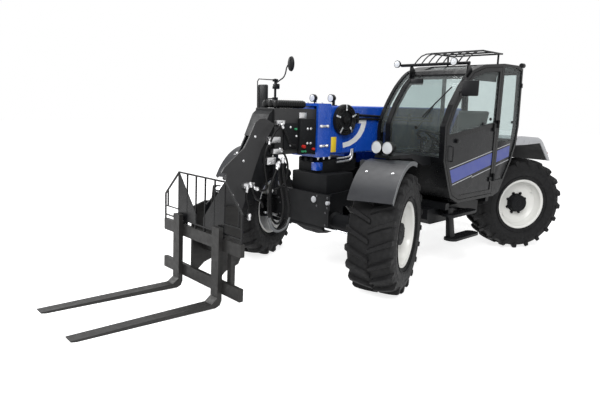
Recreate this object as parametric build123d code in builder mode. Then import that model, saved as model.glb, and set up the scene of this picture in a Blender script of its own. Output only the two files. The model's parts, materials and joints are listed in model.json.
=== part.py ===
"""Telehandler with pallet forks: four-wheel steer, side cab, side engine, two-stage boom.

Frame: +X is the machine's left (the cab side), -Y is forward, +Z is up, the ground is Z = 0, and
the origin lies under the middle of the machine's box. Lengths are millimetres, angles degrees.
"""

import os
from math import cos, radians, sin, tan, atan2, degrees, hypot

from build123d import *

# ---------------------------------------------------------------- driving dimensions

WHEELBASE = 2964.0
KINGPIN_X = 755.0  # kingpin axes, left and right of the centre line
TYRE_OFFSET = 200.0  # kingpin to the middle of the tyre
TYRE_RADIUS = 608.0  # to the lugs' corners, and so the height of the axles
TYRE_TREAD_RADIUS = 568.0
TYRE_BORE_RADIUS = 311.0
TYRE_FACETS = 20
LUGS_PER_SIDE = 20
LUG_INNER_U, LUG_OUTER_U = -6.0, 222.0  # lug ends, sideways from the tyre's middle
LUG_SWEEP = 54.0  # a lug runs from -sweep to +sweep round the tread
LUG_HALF_WIDTH = 25.0
FRONT_STEER = 20.9  # the machine is parked with its wheels turned, positive to the left
REAR_STEER = -30.2

RIM_SEAT_RADIUS = 306.5
RIM_FLANGE_RADIUS = 330.0
RIM_HALF_WIDTH = 199.0
RIM_WALL = 9.0
HUB_RADIUS = 165.0
HUB_FACE_X = 165.0  # outboard face of the hub, from the kingpin
HUB_LOBES = 8
SPINDLE_RADIUS = 55.0
KINGPIN_RADIUS = 30.0
RUNNING_FIT = 0.05
SEAT_GAP = 0.3  # between pieces that bear on each other

STEER_ARM = 160.0
STEER_ROD_RADIUS = 20.0
STEER_ROD_Y = 150.0  # steering cylinder, ahead of the front axle or behind the rear one
STEER_ROD_DROP = 47.0

FRAME_HALF = 300.0  # outer faces of the two frame plates
FRAME_PLATE = 25.0
REAR_OVERHANG = 770.0

BOOM_PIVOT_Y = 2550.0  # from the front axle
BOOM_PIVOT_Z = 1620.0
BOOM_HALF_WIDTH = 180.0
BOOM_BOTTOM, BOOM_TOP = 1320.0, 1840.0
BOOM_FRONT_Y, BOOM_REAR_Y = -200.0, 2700.0
BOOM_WALL = 10.0
COLLAR_LENGTH = 190.0
COLLAR_RIM = 18.0
PIVOT_PIN_RADIUS = 45.0
PIVOT_BOSS_RADIUS = 80.0
INNER_HALF_WIDTH = 150.0
INNER_BOTTOM, INNER_TOP = 1350.0, 1800.0
INNER_FRONT_Y, INNER_REAR_Y = -740.0, 2440.0
PAD_LENGTH = 90.0
PAD_GAP = 0.5

TILT_PIVOT_Y, TILT_PIVOT_Z = -1270.0, 840.0
TILT_PIN_RADIUS = 32.0
HEAD_PLATE_X = 155.0  # outer face of the head's left plate
HEAD_PLATE = 18.0
HEAD_CORE_HALF = 130.0
TILT_BARREL_Y, TILT_BARREL_Z = -815.0, 1500.0
TILT_ARM = 190.0  # tilt pivot up to the rod's eye
TILT_BARREL_RADIUS, TILT_ROD_RADIUS = 48.0, 25.0

CARRIAGE_TILT = 1.9  # the forks are tipped back this much
CARRIAGE_HALF = 650.0
FORK_SPACING = 670.0
FORK_LENGTH = 1250.0
FORK_WIDTH, FORK_THICK = 110.0, 45.0
FORK_FACE_Y = -1552.0  # front face of the shanks, from the front axle
FORK_TOP_Z = 95.0  # top of the blade at the heel
SHANK_TOP_Z = 770.0
UPPER_BAR_Z, LOWER_BAR_Z = 615.0, 225.0
BAR_HEIGHT, BAR_DEPTH = 112.0, 40.0
GUARD_LOW_Z, GUARD_SHOULDER_Z, GUARD_TOP_Z = 671.3, 930.0, 1175.0
GUSSET_LOW_Z = 712.0
GUARD_APEX_X = 385.0
GUARD_BAR = 14.0

LIFT_BASE_Y, LIFT_BASE_Z = 2450.0, 580.0
LIFT_EYE_Y, LIFT_EYE_Z = 1500.0, 1235.0
LIFT_BARREL_RADIUS, LIFT_ROD_RADIUS = 65.0, 38.0
LIFT_PIN_RADIUS = 28.0
EYE_GAP = 6.0  # a cylinder's eye to the ears beside it
EAR_INNER, EAR = 72.0, 22.0  # the ears' inner faces and their thickness

CAB_RIGHT_X, CAB_LEFT_X = 330.0, 1100.0
CAB_WALL = 42.0
GLASS = 6.0
PANEL_GAP = 6.0  # round the door and the hood
B_POST_Y = 1905.0
WAIST_FRONT_Z, WAIST_REAR_Z = 1505.0, 1650.0

HOOD_RIGHT_X, HOOD_LEFT_X = -1110.0, -330.0
HOOD_FRONT_Y, HOOD_REAR_Y = 800.0, 2190.0
HOOD_SPLIT_Z, HOOD_TOP_Z = 1130.0, 1440.0
HOOD_WALL = 25.0
HOOD_HINGE_X, HOOD_HINGE_Z = HOOD_LEFT_X + 20, HOOD_TOP_Z - 20  # the hood's hinge axis
HOOD_HINGE_YS = (1000.0, 1900.0)
HOOD_PIN_RADIUS, HOOD_SLEEVE_RADIUS = 8.0, 13.0
HOOD_SLEEVE = 60.0

FENDER_RADIUS, FENDER_WALL = 722.0, 10.0
FENDER_START, FENDER_END = 34.0, 108.0  # above the horizontal, from the front
FENDER_HALF_WIDTH = 212.0

# ---------------------------------------------------------------- worked-out positions

TILT = radians(CARRIAGE_TILT)
TIP_Y = FORK_FACE_Y - FORK_LENGTH - TILT_PIVOT_Y
TIP_Z = FORK_TOP_Z - FORK_THICK / 2 - TILT_PIVOT_Z
FORK_REACH = -(TILT_PIVOT_Y + TIP_Y * cos(TILT) + TIP_Z * sin(TILT))
FRONT_AXLE_Y = (FORK_REACH - WHEELBASE - REAR_OVERHANG) / 2
REAR_AXLE_Y = FRONT_AXLE_Y + WHEELBASE
AXLE_Z = TYRE_RADIUS
LUG_HALF_LENGTH = LUG_SWEEP + LUG_HALF_WIDTH
LUG_TOP_RADIUS = (TYRE_RADIUS**2 - LUG_HALF_LENGTH**2) ** 0.5
LUG_PHASE = degrees(atan2(LUG_HALF_LENGTH, LUG_TOP_RADIUS))


def along(y):
    """A place measured back from the front axle, in the machine's frame."""
    return FRONT_AXLE_Y + y


def side(points):
    """An outline of (y from the front axle, z) points, in the machine's frame."""
    return [(along(y), z) for y, z in points]


TILT_PIVOT = Axis((0, along(TILT_PIVOT_Y), TILT_PIVOT_Z), (1, 0, 0))

CORNERS = [  # name, side (+1 left), axle y, steering angle
    ("front_left", 1, FRONT_AXLE_Y, FRONT_STEER),
    ("front_right", -1, FRONT_AXLE_Y, FRONT_STEER),
    ("rear_left", 1, REAR_AXLE_Y, REAR_STEER),
    ("rear_right", -1, REAR_AXLE_Y, REAR_STEER),
]

os.makedirs("parts", exist_ok=True)


def finish(part, name):
    """Label a finished piece and write it."""
    part.label = name
    export_step(part, f"parts/{name}.step")


# ---------------------------------------------------------------- drawing helpers


def slab_across(outline, x_low, x_high, mode=Mode.ADD):
    """Extrude a closed side outline of (y, z) points from x_low to x_high."""
    with BuildSketch(Plane.YZ.offset(x_low)) as face:
        with BuildLine():
            Polyline(*outline, close=True)
        make_face()
    extrude(face.sketch, amount=x_high - x_low, mode=mode)


def slab_along(outline, y_low, y_high, mode=Mode.ADD):
    """Extrude a closed front outline of (x, z) points from y_low to y_high."""
    with BuildSketch(Plane.XZ.offset(-y_high)) as face:
        with BuildLine():
            Polyline(*outline, close=True)
        make_face()
    extrude(face.sketch, amount=y_high - y_low, mode=mode)


def block(x, y, z, mode=Mode.ADD):
    """A box from its (low, high) pairs."""
    with Locations(((x[0] + x[1]) / 2, (y[0] + y[1]) / 2, (z[0] + z[1]) / 2)):
        Box(x[1] - x[0], y[1] - y[0], z[1] - z[0], mode=mode)


def rod_between(start, end, radius, mode=Mode.ADD):
    """A round bar between two points."""
    line = Vector(*end) - Vector(*start)
    with BuildSketch(Plane(origin=start, z_dir=line)) as face:
        Circle(radius)
    extrude(face.sketch, amount=line.length, mode=mode)


def bar_between(start, end, width, depth, x_dir, mode=Mode.ADD):
    """A flat bar between two points, its width along x_dir."""
    line = Vector(*end) - Vector(*start)
    with BuildSketch(Plane(origin=start, x_dir=x_dir, z_dir=line)) as face:
        Rectangle(width, depth)
    extrude(face.sketch, amount=line.length, mode=mode)


def pin_across(y, z, radius, x_low, x_high, mode=Mode.ADD):
    """A round pin or bore along X."""
    rod_between((x_low, y, z), (x_high, y, z), radius, mode)


def revolved(profile, mode=Mode.ADD):
    """Revolve a closed (x, radius) profile about the X axis."""
    with BuildSketch(Plane.XZ) as face:
        with BuildLine():
            Polyline(*profile, close=True)
        make_face()
    revolve(face.sketch, axis=Axis.X, mode=mode)


# ---------------------------------------------------------------- wheels, in the kingpin's frame
# X points outboard and -Y forward; a right-hand wheel is the mirror image.

TYRE_SECTIONS = [  # sideways from the tyre's middle, radius
    (-186, 322),
    (-229, 450),
    (-200, TYRE_TREAD_RADIUS),
    (200, TYRE_TREAD_RADIUS),
    (229, 450),
    (186, 322),
]
TYRE_CAVITY = [(-140, 290), (-188, 532), (188, 532), (140, 290)]


def build_tyre():
    """A radial tyre with chevron lugs, on a many-sided casing."""
    turn = 180 / TYRE_FACETS
    with BuildPart() as tyre:
        for u, radius in TYRE_SECTIONS:
            with BuildSketch(Plane.YZ.offset(TYRE_OFFSET + u)):
                RegularPolygon(radius / cos(radians(turn)) ** 0.5, TYRE_FACETS, rotation=turn)
        loft(ruled=True)
        pitch = 360 / LUGS_PER_SIDE
        for hand, phase in ((1, 0), (-1, pitch / 2)):
            u_in, u_out = hand * LUG_INNER_U, hand * LUG_OUTER_U
            outline = [
                (u_in, LUG_SWEEP + LUG_HALF_WIDTH),
                (u_out, -LUG_SWEEP + LUG_HALF_WIDTH),
                (u_out, -LUG_SWEEP - LUG_HALF_WIDTH),
                (u_in, LUG_SWEEP - LUG_HALF_WIDTH),
            ]
            for k in range(LUGS_PER_SIDE):
                angle = k * pitch + phase - 90 + LUG_PHASE
                outward = Vector(0, cos(radians(angle)), sin(radians(angle)))
                base = Vector(TYRE_OFFSET, 0, 0) + outward * 510
                with BuildSketch(Plane(origin=base, x_dir=(1, 0, 0), z_dir=outward)) as lug:
                    with BuildLine():
                        Polyline(*outline, close=True)
                    make_face()
                extrude(lug.sketch, amount=LUG_TOP_RADIUS - 510)
        with BuildPart(mode=Mode.SUBTRACT):
            for u, radius in TYRE_CAVITY:
                with BuildSketch(Plane.YZ.offset(TYRE_OFFSET + u)):
                    RegularPolygon(radius, TYRE_FACETS, rotation=turn)
            loft(ruled=True)
        with BuildSketch(Plane.YZ.offset(TYRE_OFFSET - 260)) as bore:
            RegularPolygon(TYRE_BORE_RADIUS, TYRE_FACETS, rotation=turn)
        extrude(bore.sketch, amount=520, mode=Mode.SUBTRACT)
    return tyre.part


def build_rim():
    """A welded steel wheel: drop-centre barrel, deep disc."""
    inner = TYRE_OFFSET - RIM_HALF_WIDTH
    outer = TYRE_OFFSET + RIM_HALF_WIDTH
    seat, wall = RIM_SEAT_RADIUS, RIM_WALL
    with BuildPart() as rim:
        revolved(
            [
                (inner, RIM_FLANGE_RADIUS),
                (inner + wall, RIM_FLANGE_RADIUS),
                (inner + wall, seat),
                (inner + 60, seat),
                (inner + 95, seat - 26),
                (outer - 95, seat - 26),
                (outer - 60, seat),
                (outer - wall, seat),
                (outer - wall, RIM_FLANGE_RADIUS),
                (outer, RIM_FLANGE_RADIUS),
                (outer, seat - wall),
                (outer - 56, seat - wall),
                (outer - 91, seat - 26 - wall),
                (inner + 99, seat - 26 - wall),
                (inner + 64, seat - wall),
                (inner, seat - wall),
            ]
        )
        disc = HUB_FACE_X - 50
        revolved(
            [
                (disc, HUB_RADIUS - 20),
                (disc + 12, HUB_RADIUS - 20),
                (disc + 12, 232),
                (disc + 62, seat - 33),
                (disc + 62, seat - 27),
                (disc + 50, seat - 27),
                (disc, 236),
            ]
        )
    return rim.part


def build_hub():
    """A planetary hub: drum, lobed flange clamping the disc, stepped cover."""
    disc = HUB_FACE_X - 50
    with BuildPart() as hub:
        revolved(
            [
                (78, SPINDLE_RADIUS + RUNNING_FIT),
                (78, 130),
                (disc - 8, HUB_RADIUS - 20.5),
                (disc + 12.3, HUB_RADIUS - 20.5),
                (disc + 12.3, HUB_RADIUS),
                (disc + 30, HUB_RADIUS),
                (HUB_FACE_X - 10, 128),
                (HUB_FACE_X, 112),
                (HUB_FACE_X, 0),
                (124, 0),
                (124, SPINDLE_RADIUS + RUNNING_FIT),
            ]
        )
        with BuildSketch(Plane.YZ.offset(disc + 12.3)) as lobes:
            with PolarLocations(HUB_RADIUS + 20, HUB_LOBES):
                SlotOverall(80, 44)
        extrude(lobes.sketch, amount=17)
    return hub.part


def build_knuckle(forward):
    """A steering knuckle: post between the kingpins, spindle, steering arm."""
    with BuildPart() as knuckle:
        rod_between((0, 0, -96), (0, 0, 96), 68)
        rod_between((0, 0, -150), (0, 0, 150), KINGPIN_RADIUS)
        revolved([(0, 0), (0, 80), (72, 80), (72, SPINDLE_RADIUS), (118, SPINDLE_RADIUS), (118, 0)])
        arm_end = forward * STEER_ARM
        with BuildSketch(Plane.XY.offset(-STEER_ROD_DROP - 45)) as arm:
            with BuildLine():
                Polyline((-34, 0), (34, 0), (24, arm_end), (-24, arm_end), close=True)
            make_face()
            with Locations((0, arm_end)):
                Circle(30)
        extrude(arm.sketch, amount=25)
    return knuckle.part


def place_corner(part, hand, axle_y, steer, name):
    """Mirror a left-hand piece for the right, turn it to its steering angle and write it."""
    with BuildPart() as placed:
        with Locations(Location((hand * KINGPIN_X, axle_y, AXLE_Z), (0, 0, steer))):
            add(part)
    finish(placed.part, name)


def build_front_fender():
    """A quarter-round fender that turns with the knuckle, with a lip outboard."""
    first, last = FENDER_START, FENDER_END
    middle = (first + last) / 2

    def at(radius, angle):
        return (-radius * cos(radians(angle)), radius * sin(radians(angle)))

    def sector(r_out, r_in):
        with BuildLine() as path:
            ThreePointArc(at(r_out, first), at(r_out, middle), at(r_out, last))
            Line(at(r_out, last), at(r_in, last))
            ThreePointArc(at(r_in, last), at(r_in, middle), at(r_in, first))
            Line(at(r_in, first), at(r_out, first))
        make_face(path.edges())

    u_low, u_high = TYRE_OFFSET - FENDER_HALF_WIDTH, TYRE_OFFSET + FENDER_HALF_WIDTH
    with BuildPart() as fender:
        with BuildSketch(Plane.YZ.offset(u_low)) as skin:
            sector(FENDER_RADIUS, FENDER_RADIUS - FENDER_WALL)
        extrude(skin.sketch, amount=u_high - u_low)
        with BuildSketch(Plane.YZ.offset(u_high - FENDER_WALL)) as lip:
            sector(FENDER_RADIUS - FENDER_WALL, FENDER_RADIUS - 42)
        extrude(lip.sketch, amount=FENDER_WALL)
        # the stay: up from the knuckle's post, behind the tyre's inner wall
        stay_y, stay_z = at(FENDER_RADIUS - FENDER_WALL, 86)
        block((-84, -46), (stay_y - 30, stay_y + 30), (155, stay_z - 4))
        block((-84, u_low + 90), (stay_y - 30, stay_y + 30), (stay_z - 14, stay_z - 1))
        block((-84, 34), (-46, 46), (150.3, 166))
    return fender.part


left_tyre = build_tyre()
left_rim = build_rim()
left_hub = build_hub()
left_fender = build_front_fender()

for name, hand, axle_y, steer in CORNERS:
    forward = -1 if axle_y == FRONT_AXLE_Y else 1
    pieces = [("tyre", left_tyre), ("rim", left_rim), ("hub", left_hub)]
    pieces.append(("knuckle", build_knuckle(forward)))
    if forward == -1:
        pieces.append(("fender", left_fender))
    for piece, part in pieces:
        made = part if hand == 1 else part.mirror(Plane.YZ)
        place_corner(made, hand, axle_y, steer, f"{piece}_{name}")

# ---------------------------------------------------------------- axles


def build_axle(axle_y, forward, steer, name):
    """A steering axle: differential, tapered arms, yokes and the steering cylinder."""
    rod_y = forward * STEER_ROD_Y
    yoke_z = 112
    with BuildPart() as axle:
        with BuildSketch(Plane.XZ) as casting:
            with BuildLine():
                Polyline((-640, 0), (-640, 88), (-330, 92), (-190, 150), (-90, 172))
                Polyline((-90, 172), (90, 172), (190, 150), (330, 92), (640, 88), (640, 0))
                Line((640, 0), (-640, 0))
            make_face()
        revolve(casting.sketch, axis=Axis.X)
        for hand in (1, -1):
            for low in (yoke_z - 10, -yoke_z - 26):
                with BuildSketch(Plane.XY.offset(low)) as ear:
                    with BuildLine():
                        Polyline(
                            (hand * 560, -75),
                            (hand * KINGPIN_X, -52),
                            (hand * KINGPIN_X, 52),
                            (hand * 560, 75),
                            close=True,
                        )
                    make_face()
                    with Locations((hand * KINGPIN_X, 0)):
                        Circle(52)
                extrude(ear.sketch, amount=36)
            block(sorted((hand * 560, hand * 640)), (-75, 75), (-yoke_z, yoke_z))
            rod_between(
                (hand * KINGPIN_X, 0, -200),
                (hand * KINGPIN_X, 0, 200),
                KINGPIN_RADIUS + RUNNING_FIT,
                Mode.SUBTRACT,
            )
        rod_between((-290, rod_y, -STEER_ROD_DROP), (290, rod_y, -STEER_ROD_DROP), 42)
        for x in (-230, 230):
            block((x - 20, x + 20), sorted((rod_y, 0)), (-STEER_ROD_DROP - 20, -STEER_ROD_DROP + 20))
        rod_between(
            (-700, rod_y, -STEER_ROD_DROP),
            (700, rod_y, -STEER_ROD_DROP),
            STEER_ROD_RADIUS + RUNNING_FIT,
            Mode.SUBTRACT,
        )
        # pinion housing and the saddle that carries the frame
        rod_between((-200, 0, 0), (-200, -forward * 260, 0), 62)
        block((-FRAME_HALF, FRAME_HALF), (-120, 120), (60, 150))
    with BuildPart() as placed:
        with Locations((0, axle_y, AXLE_Z)):
            add(axle.part)
    finish(placed.part, f"axle_{name}")

    shift = -forward * STEER_ARM * sin(radians(steer))
    with BuildPart() as rod:
        rod_between((-690 + shift, rod_y, 0), (690 + shift, rod_y, 0), STEER_ROD_RADIUS)
        for hand in (1, -1):
            with BuildSketch(Plane.XY.offset(-12)) as eye:
                with Locations((hand * KINGPIN_X + shift, rod_y)):
                    Circle(30)
                with Locations((hand * 705 + shift, rod_y)):
                    Rectangle(80, 34)
            extrude(eye.sketch, amount=24)
    with BuildPart() as placed_rod:
        with Locations((0, axle_y, AXLE_Z - STEER_ROD_DROP)):
            add(rod.part)
    finish(placed_rod.part, f"steering_rod_{name}")


build_axle(FRONT_AXLE_Y, -1, FRONT_STEER, "front")
build_axle(REAR_AXLE_Y, 1, REAR_STEER, "rear")

# ---------------------------------------------------------------- chassis

plate_outer, plate_inner = FRAME_HALF, FRAME_HALF - FRAME_PLATE
saddle_z = AXLE_Z + 150
rear_end_y = WHEELBASE + REAR_OVERHANG
frame_outline = side(
    [
        (-180, 600),
        (-180, 905),
        (250, 930),
        (900, 1060),
        (1750, 1120),
        (2120, 1260),
        (2370, 1740),
        (2460, 1800),
        (2640, 1800),
        (2760, 1700),
        (3000, 1260),
        (3330, 1080),
        (3330, 640),
        (3180, 640),
        (3130, saddle_z),
        (2790, saddle_z),
        (2700, 500),
        (450, 500),
        (180, saddle_z),
        (-140, saddle_z),
    ]
)
with BuildPart() as chassis:
    for x_low in (-plate_outer, plate_inner):
        slab_across(frame_outline, x_low, x_low + FRAME_PLATE)
    # cross members: y low, y high, z low, z high
    for y_low, y_high, z_low, z_high in (
        (-180, -150, 700, 905),
        (520, 560, 760, 1000),
        (2540, 2570, 660, 760),
        (2830, 2860, 900, 1500),
        (3300, 3330, 640, 1080),
    ):
        block((-plate_outer, plate_outer), (along(y_low), along(y_high)), (z_low, z_high))
    block((-plate_outer, plate_outer), (along(-150), along(560)), (saddle_z + 100, saddle_z + 112))
    block((-plate_outer, plate_outer), (along(540), along(1700)), (500, 512))
    # nose: the box ahead of the front axle
    block((-420, 420), (along(-215), along(-180)), (770, 925))
    block((-405, 405), (along(-215), along(-197)), (580, 771))
    # outriggers under the cab and the engine
    for y in (980, 1880):
        block((plate_outer - 5, 1040), (along(y), along(y + 70)), (735, 807.7))
        block((-1060, -plate_outer + 5), (along(y), along(y + 70)), (600, 665))
    # posts that carry the hood's hinge pins
    for hinge_y in HOOD_HINGE_YS:
        y_low, y_high = along(hinge_y - 45), along(hinge_y - 1)
        block((HOOD_HINGE_X - 7, HOOD_HINGE_X + 7), (y_low, y_high), (1000, HOOD_HINGE_Z))
        block((HOOD_HINGE_X - 7, -plate_outer + 5), (y_low, y_high), (940, 1040))
        rod_between((HOOD_HINGE_X, y_low, HOOD_HINGE_Z), (HOOD_HINGE_X, y_high, HOOD_HINGE_Z), HOOD_SLEEVE_RADIUS)
        pin_end = along(hinge_y + HOOD_SLEEVE + 6)
        rod_between((HOOD_HINGE_X, y_low, HOOD_HINGE_Z), (HOOD_HINGE_X, pin_end, HOOD_HINGE_Z), HOOD_PIN_RADIUS)
    # lift cylinder's ears
    for x in (-EAR_INNER - EAR, EAR_INNER):
        block((x, x + EAR), (along(LIFT_BASE_Y - 55), along(2570)), (LIFT_BASE_Z - 55, LIFT_BASE_Z + 120))
    pin_across(along(LIFT_BASE_Y), LIFT_BASE_Z, LIFT_PIN_RADIUS, -EAR_INNER - EAR, EAR_INNER + EAR)
    pin_across(along(BOOM_PIVOT_Y), BOOM_PIVOT_Z, 100, -plate_outer - 22, -plate_inner + 6)
    pin_across(along(BOOM_PIVOT_Y), BOOM_PIVOT_Z, 100, plate_inner - 6, plate_outer + 22)
    pin_across(along(BOOM_PIVOT_Y), BOOM_PIVOT_Z, PIVOT_PIN_RADIUS, -plate_outer, plate_outer)
finish(chassis.part, "chassis_frame")

TOW_PIN_RADIUS = 16.0
JAW_RADIUS, JAW_THICK = 34.0, 25.0
JAW_LOW_Z, JAW_HIGH_Z = 585.0, 705.0  # undersides of the tow hitch's jaws
HITCH_REACH = 100.0  # from the weight's back to the end of the jaws
hitch_y = rear_end_y - JAW_RADIUS
weight_back_y = rear_end_y - HITCH_REACH
with BuildPart() as counterweight:
    slab_across(
        side(
            [
                (3330.3, 600),
                (3330.3, 1090),
                (3520, 1090),
                (weight_back_y, 980),
                (weight_back_y, 600),
                (weight_back_y - 70, 540),
                (3400, 540),
            ]
        ),
        -440,
        440,
    )
    fillet(counterweight.edges().filter_by(Axis.Z), 25)
    for hand in (1, -1):
        block(sorted((hand * 360, hand * 450)), (along(3320), along(3510)), (500, 1100), Mode.SUBTRACT)
    # tow hitch on its back
    block((-110, 110), (along(weight_back_y - 1), along(weight_back_y + 12)), (560, 760))
    for z in (JAW_LOW_Z, JAW_HIGH_Z):
        with BuildSketch(Plane.XY.offset(z)) as jaw:
            with Locations((0, along((weight_back_y + hitch_y) / 2))):
                Rectangle(2 * JAW_RADIUS, hitch_y - weight_back_y)
            with Locations((0, along(hitch_y))):
                Circle(JAW_RADIUS)
        extrude(jaw.sketch, amount=JAW_THICK)
    rod_between((0, along(hitch_y), 500), (0, along(hitch_y), 800), TOW_PIN_RADIUS, Mode.SUBTRACT)
finish(counterweight.part, "counterweight")

# drive line and what hangs in the frame
with BuildPart() as driveline:
    rod_between((-200, along(260.3), AXLE_Z), (-200, along(1150), AXLE_Z), 38)
    rod_between((-200, along(1460), AXLE_Z), (-200, along(2703.7), AXLE_Z), 38)
    with Locations((-180, along(1305), AXLE_Z + 40)):
        Box(180, 310, 250)
finish(driveline.part, "driveline")

with BuildPart() as tank:
    slab_across(
        side([(850, 620), (850, 730), (960, 734), (1960, 734), (1960, 560), (900, 560)]),
        plate_outer + SEAT_GAP,
        900,
    )
    fillet(tank.edges().filter_by(Axis.X).group_by(Axis.Z)[0], 40)
finish(tank.part, "fuel_tank")

step_front, step_rear = 960, 1470
with BuildPart() as steps:
    for z, x_low, x_high in ((680, 900.3, 1130), (430, 990, 1170)):
        block((x_low, x_high), (along(step_front), along(step_rear)), (z, z + 26))
        for k in range(4):
            y = step_front + 70 + k * 100
            block((x_low + 30, x_high - 30), (along(y), along(y + 60)), (z - 5, z + 40), Mode.SUBTRACT)
    for y in (step_front, step_rear - 14):
        slab_along([(1000, 430), (1170, 430), (1130, 735), (960, 735)], along(y), along(y + 14))
finish(steps.part, "cab_steps")

# ---------------------------------------------------------------- engine side


bay_wall = 25
with BuildPart() as bay:
    bay_y = (along(HOOD_FRONT_Y), along(HOOD_REAR_Y))
    block((HOOD_RIGHT_X, HOOD_LEFT_X), bay_y, (665.3, HOOD_SPLIT_Z - PANEL_GAP))
    block(
        (HOOD_RIGHT_X + bay_wall, HOOD_LEFT_X - bay_wall),
        (bay_y[0] + bay_wall, bay_y[1] - bay_wall),
        (665.3 + bay_wall, HOOD_SPLIT_Z),
        Mode.SUBTRACT,
    )
    fillet(bay.edges().filter_by(Axis.Z).group_by(Axis.X)[0], 60)
    # louvres in the outer wall
    for k in range(9):
        y = along(HOOD_FRONT_Y + 240 + k * 110)
        block((HOOD_RIGHT_X - 5, HOOD_RIGHT_X + 40), (y, y + 64), (780, 1040), Mode.SUBTRACT)
finish(bay.part, "engine_bay")

with BuildPart() as engine:
    block((-940, -460), (along(1040), along(1860)), (730, 1110))
    block((-850, -550), (along(1150), along(1750)), (690.6, 730))
finish(engine.part, "engine_block")


def hood_profile(inset):
    """The hood's front outline: flat by the boom, arched over, steep outboard."""
    right, left = HOOD_RIGHT_X + inset, HOOD_LEFT_X - inset
    top = HOOD_TOP_Z - inset
    with BuildLine() as path:
        Line((right, HOOD_SPLIT_Z), (right + 50, HOOD_SPLIT_Z + 110))
        ThreePointArc((right + 50, HOOD_SPLIT_Z + 110), (right + 190, top - 62), (right + 430, top))
        Line((right + 430, top), (left, top))
        Line((left, top), (left, HOOD_SPLIT_Z))
        Line((left, HOOD_SPLIT_Z), (right, HOOD_SPLIT_Z))
    make_face(path.edges())


with BuildPart() as hood:
    with BuildSketch(Plane.XZ.offset(-along(HOOD_REAR_Y))) as outer_face:
        hood_profile(0)
    extrude(outer_face.sketch, amount=HOOD_REAR_Y - HOOD_FRONT_Y)
    with BuildSketch(Plane.XZ.offset(-along(HOOD_REAR_Y) + HOOD_WALL)) as inner_face:
        hood_profile(HOOD_WALL)
    extrude(inner_face.sketch, amount=HOOD_REAR_Y - HOOD_FRONT_Y - 2 * HOOD_WALL, mode=Mode.SUBTRACT)
    for k in range(5):
        y = along(HOOD_FRONT_Y + 420 + k * 130)
        block((-720, -470), (y, y + 70), (HOOD_TOP_Z - 60, HOOD_TOP_Z + 5), Mode.SUBTRACT)
    # sleeves on the boom side that turn on the frame's hinge pins
    for hinge_y in HOOD_HINGE_YS:
        low, high = along(hinge_y), along(hinge_y + HOOD_SLEEVE)
        block((HOOD_LEFT_X - 5, HOOD_HINGE_X), (low, high), (HOOD_HINGE_Z - 8, HOOD_HINGE_Z + 8))
        rod_between((HOOD_HINGE_X, low, HOOD_HINGE_Z), (HOOD_HINGE_X, high, HOOD_HINGE_Z), HOOD_SLEEVE_RADIUS)
        rod_between(
            (HOOD_HINGE_X, low - 1, HOOD_HINGE_Z),
            (HOOD_HINGE_X, high + 1, HOOD_HINGE_Z),
            HOOD_PIN_RADIUS + RUNNING_FIT,
            Mode.SUBTRACT,
        )
finish(hood.part, "engine_hood")

with BuildPart() as exhaust:
    rod_between((-400, along(2330), 800), (-400, along(2330), 1780), 42)
    rod_between((-400, along(2330), 1500), (-400, along(2330), 1560), 48)
    rod_between((-400, along(2330), 1740), (-400, along(2330), 1790), 30, Mode.SUBTRACT)
    block((-400, -300.3), (along(2310), along(2350)), (900, 940))
finish(exhaust.part, "exhaust_stack")

# ---------------------------------------------------------------- rear fenders and lamps

REAR_FENDER_TOP = 1450.0
fender_line = [(2500, 1300), (2560, 1410), (2700, REAR_FENDER_TOP), (3300, REAR_FENDER_TOP - 10)]
fender_line += [(3480, 1370), (3590, 1150)]
fender_under = [(y - dy, z - dz) for (y, z), dy, dz in zip(fender_line, (-14, -8, 0, 2, 10, 14), (0, 12, 14, 14, 10, 2))]
rear_fender_side = side(fender_line + fender_under[::-1])
with BuildPart() as rear_fenders:
    for x_low, x_high in ((FRAME_HALF + 0.3, 1150), (-1150, -FRAME_HALF - 0.3)):
        slab_across(rear_fender_side, x_low, x_high)
    for x in (1138, -1150):
        slab_across(
            side([(2514, 1300), (2560, 1396), (2700, 1436), (3300, 1426), (3470, 1360), (3576, 1150), (3520, 1150), (3420, 1310), (3290, 1370), (2710, 1380), (2600, 1350), (2560, 1300)]),
            x,
            x + 12,
        )
    for hand in (1, -1):
        slab_across(
            side([(2700, 1436), (3150, 1430), (3000, 1262), (2800, 1300)]),
            *sorted((hand * (FRAME_HALF + 0.3), hand * (FRAME_HALF + 12))),
        )
finish(rear_fenders.part, "rear_fenders")

# ---------------------------------------------------------------- headlamp arms, mirror

ARM_X = 850.0
arm_side = side(
    [(60, 1340), (60, 1368), (420, 1372), (767.6, 1330), (769.5, 1290), (791, 1240), (640, 1240), (420, 1330)]
)
with BuildPart() as lamp_arms:
    slab_across(arm_side, ARM_X - 100, ARM_X + 90)
    slab_across(arm_side, -ARM_X - 140, -ARM_X + 100)
    block((-ARM_X - 90, -ARM_X + 100), (along(775), along(799.7)), (1000, 1330))
finish(lamp_arms.part, "lamp_arms")

MIRROR_X, MIRROR_Y = -970.0, 200.0
with BuildPart() as mirror_stand:
    rod_between((MIRROR_X, along(MIRROR_Y), 1370.2), (MIRROR_X, along(MIRROR_Y), 2060), 15)
    for z in (1750, 2040):
        rod_between((MIRROR_X, along(MIRROR_Y), z), (MIRROR_X - 130, along(MIRROR_Y), z), 7)
    rod_between((MIRROR_X - 130, along(MIRROR_Y), 1745), (MIRROR_X - 130, along(MIRROR_Y), 2045), 7)
    bar_between((MIRROR_X, along(MIRROR_Y), 2050), (MIRROR_X + 60, along(MIRROR_Y), 2267), 12, 12, (0, 1, 0))
finish(mirror_stand.part, "mirror_stand")

with BuildPart() as mirror_glass:
    block((MIRROR_X - 185, MIRROR_X - 75), (along(MIRROR_Y + 7.3), along(MIRROR_Y + 35)), (1760, 2030))
    with Locations(Location((MIRROR_X + 62, along(MIRROR_Y), 2330), (0, 0, 0))):
        Cylinder(62, 30, rotation=(90, 0, 0))
finish(mirror_glass.part, "mirrors")

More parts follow.
